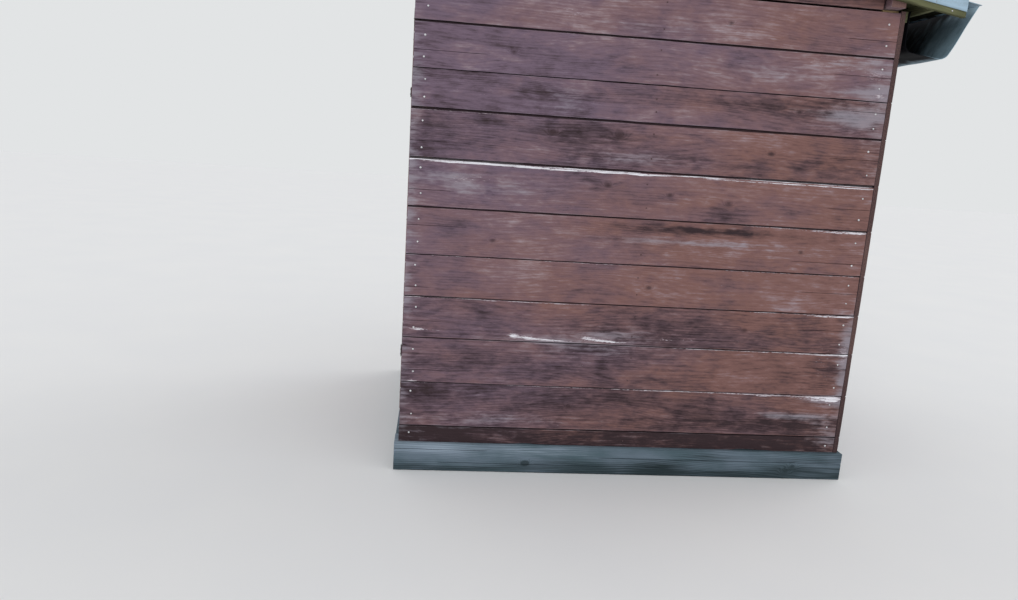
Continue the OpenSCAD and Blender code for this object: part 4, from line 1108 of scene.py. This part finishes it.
# The roof sheet's ribs, the beads between them, its drip edge, the foam in the rib ends, the rows of its
# screws (x of the front wall), and the trims that cover its edges
sheet = {"thick": 0.002, "bend": 0.0025, "rib": 0.020, "foot": 0.060, "top": 0.034, "pitch": 0.200,
         "drip": 0.062, "bead": 0.0025, "beadFoot": 0.013, "beadTop": 0.008, "foamIn": 0.030,
         "foamLong": 0.026,
         "screwsAt": (roof["left"] + 0.012, 0.060, 0.968, 1.962, 2.125), "screwAside": 0.012, "proud": 0.0004,
         "trimLow": 0.023, "trimTop": 0.070, "trimScrewIn": 0.035, "trimScrewFrom": 0.12,
         "trimScrewPitch": 0.29}


def roofSheet():
    run = roof["back"] - roof["front"] + 2 * roof["edge"]
    count = int((run - sheet["foot"]) / sheet["pitch"])
    first = (run - count * sheet["pitch"]) / 2
    ribs = first + np.arange(count + 1) * sheet["pitch"]
    foot, top = sheet["foot"] / 2, sheet["top"] / 2
    points = [(0, 0)]
    for y in ribs:
        points += [(y - foot, 0), (y - top, sheet["rib"]), (y + top, sheet["rib"]), (y + foot, 0)]
        if y < ribs[-1]:
            # A low bead stiffens the flat between two ribs
            middle = y + sheet["pitch"] / 2
            points += [(middle - sheet["beadFoot"], 0), (middle - sheet["beadTop"], sheet["bead"]),
                       (middle + sheet["beadTop"], sheet["bead"]), (middle + sheet["beadFoot"], 0)]
    line = divided(rounded(points + [(run, 0)], sheet["bend"], 3), 0.022)
    start = (0, roof["front"] - roof["edge"], under(0) + roof["deck"])
    along = (math.cos(slope), 0, -math.sin(slope))
    out = (math.sin(slope), 0, math.cos(slope))
    x0 = roof["left"] / math.cos(slope) + sheet["thick"] + sheet["rib"] * rise
    x1 = (roof["right"] + sheet["drip"]) / math.cos(slope)

    # Slightly uneven between the ribs
    def push(u, p, q):
        return 0.0012 * np.clip(1 - q / 0.006, 0, 1) * (1 + softField(u * 4, p * 9, 8501))

    # Dirt gathers at the feet of the ribs, and more of it towards the low end
    def grime(u, p, q, far):
        beside = np.abs((p - first + sheet["pitch"] / 2) % sheet["pitch"] - sheet["pitch"] / 2) - foot
        wash = np.clip(0.35 + 0.35 * (u - x0) / (x1 - x0) + 0.35 * softField(u * 2.2, p * 11, 8502), 0, 1)
        return ((0.75 if far else 0.3) * np.exp(-(beside / 0.014) ** 2) * wash
                + 0.3 * span(u, x1 - 0.05, x1 + 1, 0.05))

    surface = bentSheet({"start": start, "along": along, "p": toBack, "q": out}, np.linspace(x0, x1, 44),
                        line, 0.0, sheet["thick"], push, grime)
    addPiece("roofSheet", [surface], roofMetal, "roof_metal", ["roof_sheet"])

    # A spot given in the sheet's own directions
    def spot(u, p, q=0.0):
        return np.array(start) + u * np.array(along) + p * np.array(toBack) + q * np.array(out)

    # Foam fillers close the hollow of each rib at both ends of the sheet
    base, narrow, tall = foot - 0.0010, top - 0.0008, sheet["rib"] - 0.0010
    outline = [(-base, 0.0003), (base, 0.0003), (narrow, tall), (-narrow, tall)]
    ends = ((x1 - sheet["foamIn"], toBack), (x0 + sheet["foamIn"], toFront))
    fillers = [plate({"start": spot(end, y), "along": way, "across": out}, outline, sheet["foamLong"], 0.001)
               for y in ribs for end, way in ends]
    addPiece("ribFillers", fillers, foamGrey)

    # Screws beside the ribs, over the eave beams, the purlin and the battens
    spots = [spot(x / math.cos(slope), y + foot + sheet["screwAside"], sheet["thick"] + sheet["proud"])
             for x in sheet["screwsAt"] for y in ribs[1:-1]]
    addPiece("roofScrews", [turnedParts(spots, out, screwRings, 12)], screwMetal)


def vergeTrims():
    place = {"start": (0, 0, under(0)), "along": (1, 0, -rise), "p": toBack, "q": upward}
    low = bargeFoot + sheet["trimLow"]
    high = roof["deck"] + (sheet["rib"] + 2 * sheet["thick"]) / math.cos(slope)
    outward = roof["edge"] + sheet["thick"]
    for name, node, y, into in (("vergeTrimFront", "verge_trim_front", roof["front"] - outward, 1),
                                ("vergeTrimBack", "verge_trim_back", roof["back"] + outward, -1)):
        line = rounded([(y, low), (y, high), (y + into * sheet["trimTop"], high)], sheet["bend"])

        def push(u, p, q):
            return -into * 0.0005 * (1 + softField(u * 7, (p + q) * 12, 8600 + into))

        def grime(u, p, q, far):
            return (0.25 * span(q, -1, low + 0.006, 0.008)
                    + 0.12 * (1 + softField(u * 6, q * 30, 8610 + into)))

        surface = bentSheet(place, np.linspace(roof["left"], roof["right"], 60), divided(line, 0.012), 0.0,
                            -into * sheet["thick"], push, grime)
        addPiece(name, [surface], roofMetal, "roof_metal", [node])
        along = np.arange(roof["left"] + sheet["trimScrewFrom"], roof["right"], sheet["trimScrewPitch"])
        spots = [(x, y + into * sheet["trimScrewIn"], under(x) + high + sheet["proud"]) for x in along]
        addPiece(name + "Screws", [turnedParts(spots, (rise, 0, 1), screwRings, 12)], screwMetal)


# The gutter hangs from its ledger; floor is how far out it reaches, and it flares by degrees from plumb
trough = {"ledger": 0.010, "ledgerTop": 2.075, "depth": 0.236, "floor": 0.205, "fall": 0.028, "flare": 26.0,
          "bend": 0.045, "rimLift": 0.041, "strap": 0.002, "straps": 3, "nail": 0.004, "nailRow": 0.004,
          "nailDown": 0.016, "nailFrom": 0.05, "nailPitch": 0.14, "strapNailDown": 0.018,
          "strapNailAside": 0.008}


def gutterTrough():
    rim = nodeBox("eave_batten_low")[0][2] + trough["rimLift"]
    lowest = rim - trough["depth"]
    wallX, outerX = rightFace + trough["ledger"], rightFace + trough["floor"]
    rimX = outerX + trough["depth"] * math.tan(math.radians(trough["flare"]))
    corners = [(wallX, trough["ledgerTop"]), (wallX, lowest + trough["fall"]), (outerX, lowest), (rimX, rim)]
    line = divided(rounded(corners, trough["bend"], 11), 0.012)
    place = {"start": (0, 0, 0), "along": toBack, "p": toRight, "q": upward}
    straps = backFace * np.arange(1, trough["straps"] + 1) / (trough["straps"] + 1)

    # Dents push the sheet inwards between the straps; the rim is wavy
    def push(u, p, q):
        free = 1 - sum(np.exp(-((u - y) / 0.05) ** 2) for y in straps)
        dents = (0.002 * (1 + softField(u * 5, (p + q) * 9, 8701))
                 + 0.003 * np.clip(softField(u * 13, (p - q) * 17, 8702), 0, 1))
        return np.clip(free * span(u, -0.02, backFace + 0.02, 0.08), 0, 1) * dents

    # Painted shade: inside it is near black away from the open ends and darker near the rim, and both faces
    # are near black near the wall
    def grime(u, p, q, far):
        shadeNearWall = 1 - eased(np.clip((p - wallX) / (outerX + 0.03 - wallX), 0, 1))
        if not far:
            return np.clip(2.3 * shadeNearWall, 0, 1.4)
        deep = np.clip(np.minimum(u, backFace - u) / 0.42, 0, 1)
        inside = 1 - (1 - shadeNearWall) * (1 - deep * (2 - deep))
        return np.clip(inside + 0.3 * span(q, rim - 0.03, rim + 1, 0.04), 0, 1.4)

    surface = bentSheet(place, np.linspace(0, backFace, 150), line, trough["strap"], sheet["thick"], push,
                        grime)
    addPiece("gutterTrough", [surface], gutterMetal, "gutter_metal", ["gutter"])
    row, top, aside = wallX + trough["nailRow"], trough["ledgerTop"], trough["strapNailAside"]
    nails = [(row, y + dy, top - trough["strapNailDown"]) for y in straps for dy in (-aside, aside)]
    nails += [(row, y, top - trough["nailDown"])
              for y in np.arange(trough["nailFrom"], backFace, trough["nailPitch"])]
    addPiece("gutterNails", [turnedParts(nails, toRight, domeRings, 10, trough["nail"])], nailMetal)


roofSheet()
vergeTrims()
gutterTrough()
print("roof sheet, trims and gutter bent")


# Roof boards run down the fall; their low ends over the gutter are darkened, a painted shade
def roofBoards():
    boards = []
    for i, y in enumerate(np.arange(roof["front"], roof["back"] - 0.01, roof["cover"])):
        low, high = y + (roof["joint"] if i else 0), min(y + roof["cover"], roof["back"])
        # Seen from below: across runs towards the front, so that the face looks down
        place = {"start": (0, high, under(0)), "along": (1, 0, -rise), "across": toFront}
        rng = np.random.default_rng(8300 + i)
        # Painted shade past x = 2.172, where the roof's low end hangs over the gutter
        look = dict(timberLook, seed=8310 + 7 * i, thick=shed["board"], step=0.06, columns=5, wear=0.001,
                    stations=(2.146, 2.155, 2.165, 2.175, 2.185, 2.198),
                    shade=(rng.uniform(-0.15, 0.15), lambda u, v: -1.2 * span(u, 2.172, 9, 0.05)),
                    knots=[(rng.uniform(0, 2), (high - low) / 2, 0.012)])
        length = roof["right"] - roof["short"] - roof["left"]
        boards.append(sawnBoard(place, length, 0.0, high - low, look, roof["left"]))
    addPiece("roofBoards", boards, oliveWood, "bare_wood", ["roof_boards"])


roofBoards()
ledger = timber(*nodeBox("gutter_ledger"), toBack, 8800, step=0.03, columns=5, wear=0.0015)
addPiece("gutterLedger", [ledger], oliveWood, "bare_wood", ["gutter_ledger"])
print("roof boards laid")

# Parts that keep the frame's shape, by the axis that their grain runs along
framing = [
    ["floor_boards"],
    ["floor_joists", "door_head", "roof_purlin", "door_ledges"],
    ["post_front_left", "post_front_right", "post_back_left", "post_back_right", "front_stud", "back_stud",
     "right_stud", "door_posts"],
]
finishes = {node: sawnTimber[axis] for axis in (0, 1, 2) for node in framing[axis]}
for node, material in dict(finishes, gutter_straps=ironMetal).items():
    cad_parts[node].data.materials.clear()
    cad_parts[node].data.materials.append(material)

# Nails: the radius of each kind of head and how far it stands out, then how far nails are from a board's edge
# and where their rows are along each wall, up the door and up its casing
nail = {"bright": (0.0040, 0.0002), "painted": (0.0032, 0.0002), "gable": (0.0034, 0.0002),
        "door": (0.0036, 0.0002), "barge": (0.0030, 0.0001), "inset": 0.045, "front": (0.047, 1.953),
        "middle": (1.0,), "right": (0.050, 0.751, 1.440), "back": (0.070, 1.0, 1.975),
        "ledges": (0.375, 0.440, 1.605, 1.670), "leaf": (0.022, 0.096),
        "casing": (0.19, 0.62, 1.05, 1.48, 1.87), "bargePitch": 0.23}


# Two nails through each board at every row, one through a narrow board; at is where the rows are
def boardNails(at, foot, head, seed):
    rng = np.random.default_rng(seed)
    spots = []
    for low, high in courseSpans(foot, head):
        heights = (low + nail["inset"], high - nail["inset"]) if high - low > 0.11 else ((low + high) / 2,)
        spots += [(x + rng.uniform(-0.006, 0.006), z + rng.uniform(-0.008, 0.008))
                  for x in at for z in heights]
    return spots


def allNails():
    foot, atFrom, atTo = shed["plinth"], doorway["from"], doorway["to"]
    left = (0.060, atFrom - doorway["casing"] - 0.03, atTo + doorway["casing"] + 0.03, backFace - 0.040)
    sides = boardNails(left, foot, highTop, 95)
    sides += boardNails((atFrom - 0.025, atTo + 0.025), 2.01, highTop, 96)
    right = [spot for spot in boardNails(nail["right"], foot, 2.02, 93) if spot[1] < 2.0]
    gables = [(x, z) for x in (0.16, 1.0) for z in (2.125, 2.21) if z < under(x) - 0.05]

    # Door boards are nailed to the ledges, clear of the hinges, and casing boards to the posts
    leaf = [(y + side, z) for y in leafStarts for side in nail["leaf"] for z in nail["ledges"]
            if y + side < door["to"] - 0.008]
    leaf = [(y, z) for y, z in leaf if y - door["from"] > hinge["length"] + 0.02
            or min(abs(z - middle) for middle in hinge["heights"]) > 0.021]
    casing = [(y, z) for y in (atFrom - 0.025, atTo + 0.025) for z in nail["casing"]]
    casing += [(y, doorway["top"] + 0.04) for y in (atFrom - 0.05, 0.86, atTo + 0.05)]
    barge = [(x, under(x) + bargeFoot + 0.012)
             for x in np.arange(roof["left"] + 0.06, roof["right"], nail["bargePitch"])]

    # Each row: where its nails are, the way that their heads look, the place of that face and their kind
    front, middle, back = (boardNails(nail[wall], foot, eaveTop, seed)
                           for wall, seed in (("front", 91), ("middle", 92), ("back", 94)))
    for seed, (name, spots, out, face, kind, material) in enumerate((
            ("frontNails", front, toFront, 0, "bright", nailMetal),
            ("frontNailsPainted", middle, toFront, 0, "painted", paintedMetal),
            ("rightNails", right, toRight, rightFace, "bright", nailMetal),
            ("backNails", back, toBack, backFace, "bright", nailMetal),
            ("leftNails", sides, toLeft, 0, "bright", nailMetal),
            ("gableNailsFront", gables, toFront, 0, "gable", paintedMetal),
            ("gableNailsBack", gables, toBack, backFace, "gable", paintedMetal),
            ("doorNails", leaf + casing, toLeft, door["face"], "door", paintedMetal),
            ("bargeNailsFront", barge, toFront, roof["front"] - roof["edge"], "barge", nailMetal),
            ("bargeNailsBack", barge, toBack, roof["back"] + roof["edge"], "barge", nailMetal)), 1):
        radius, proud = nail[kind]
        depth = face + proud * sum(out)
        heads = [(depth, a, z) if out[0] else (a, depth, z) for a, z in spots]
        # Both barge boards have the same nails
        sizes = radius * np.random.default_rng(min(seed, 9)).uniform(0.85, 1.15, len(heads))
        addPiece(name, [turnedParts(heads, out, domeRings, 8, sizes)], material, sharp=50.0)


allNails()
print("nails driven")

for row in ([float(c) for c in corner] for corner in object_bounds()):
    print("bounds", [round(c, 4) for c in row])
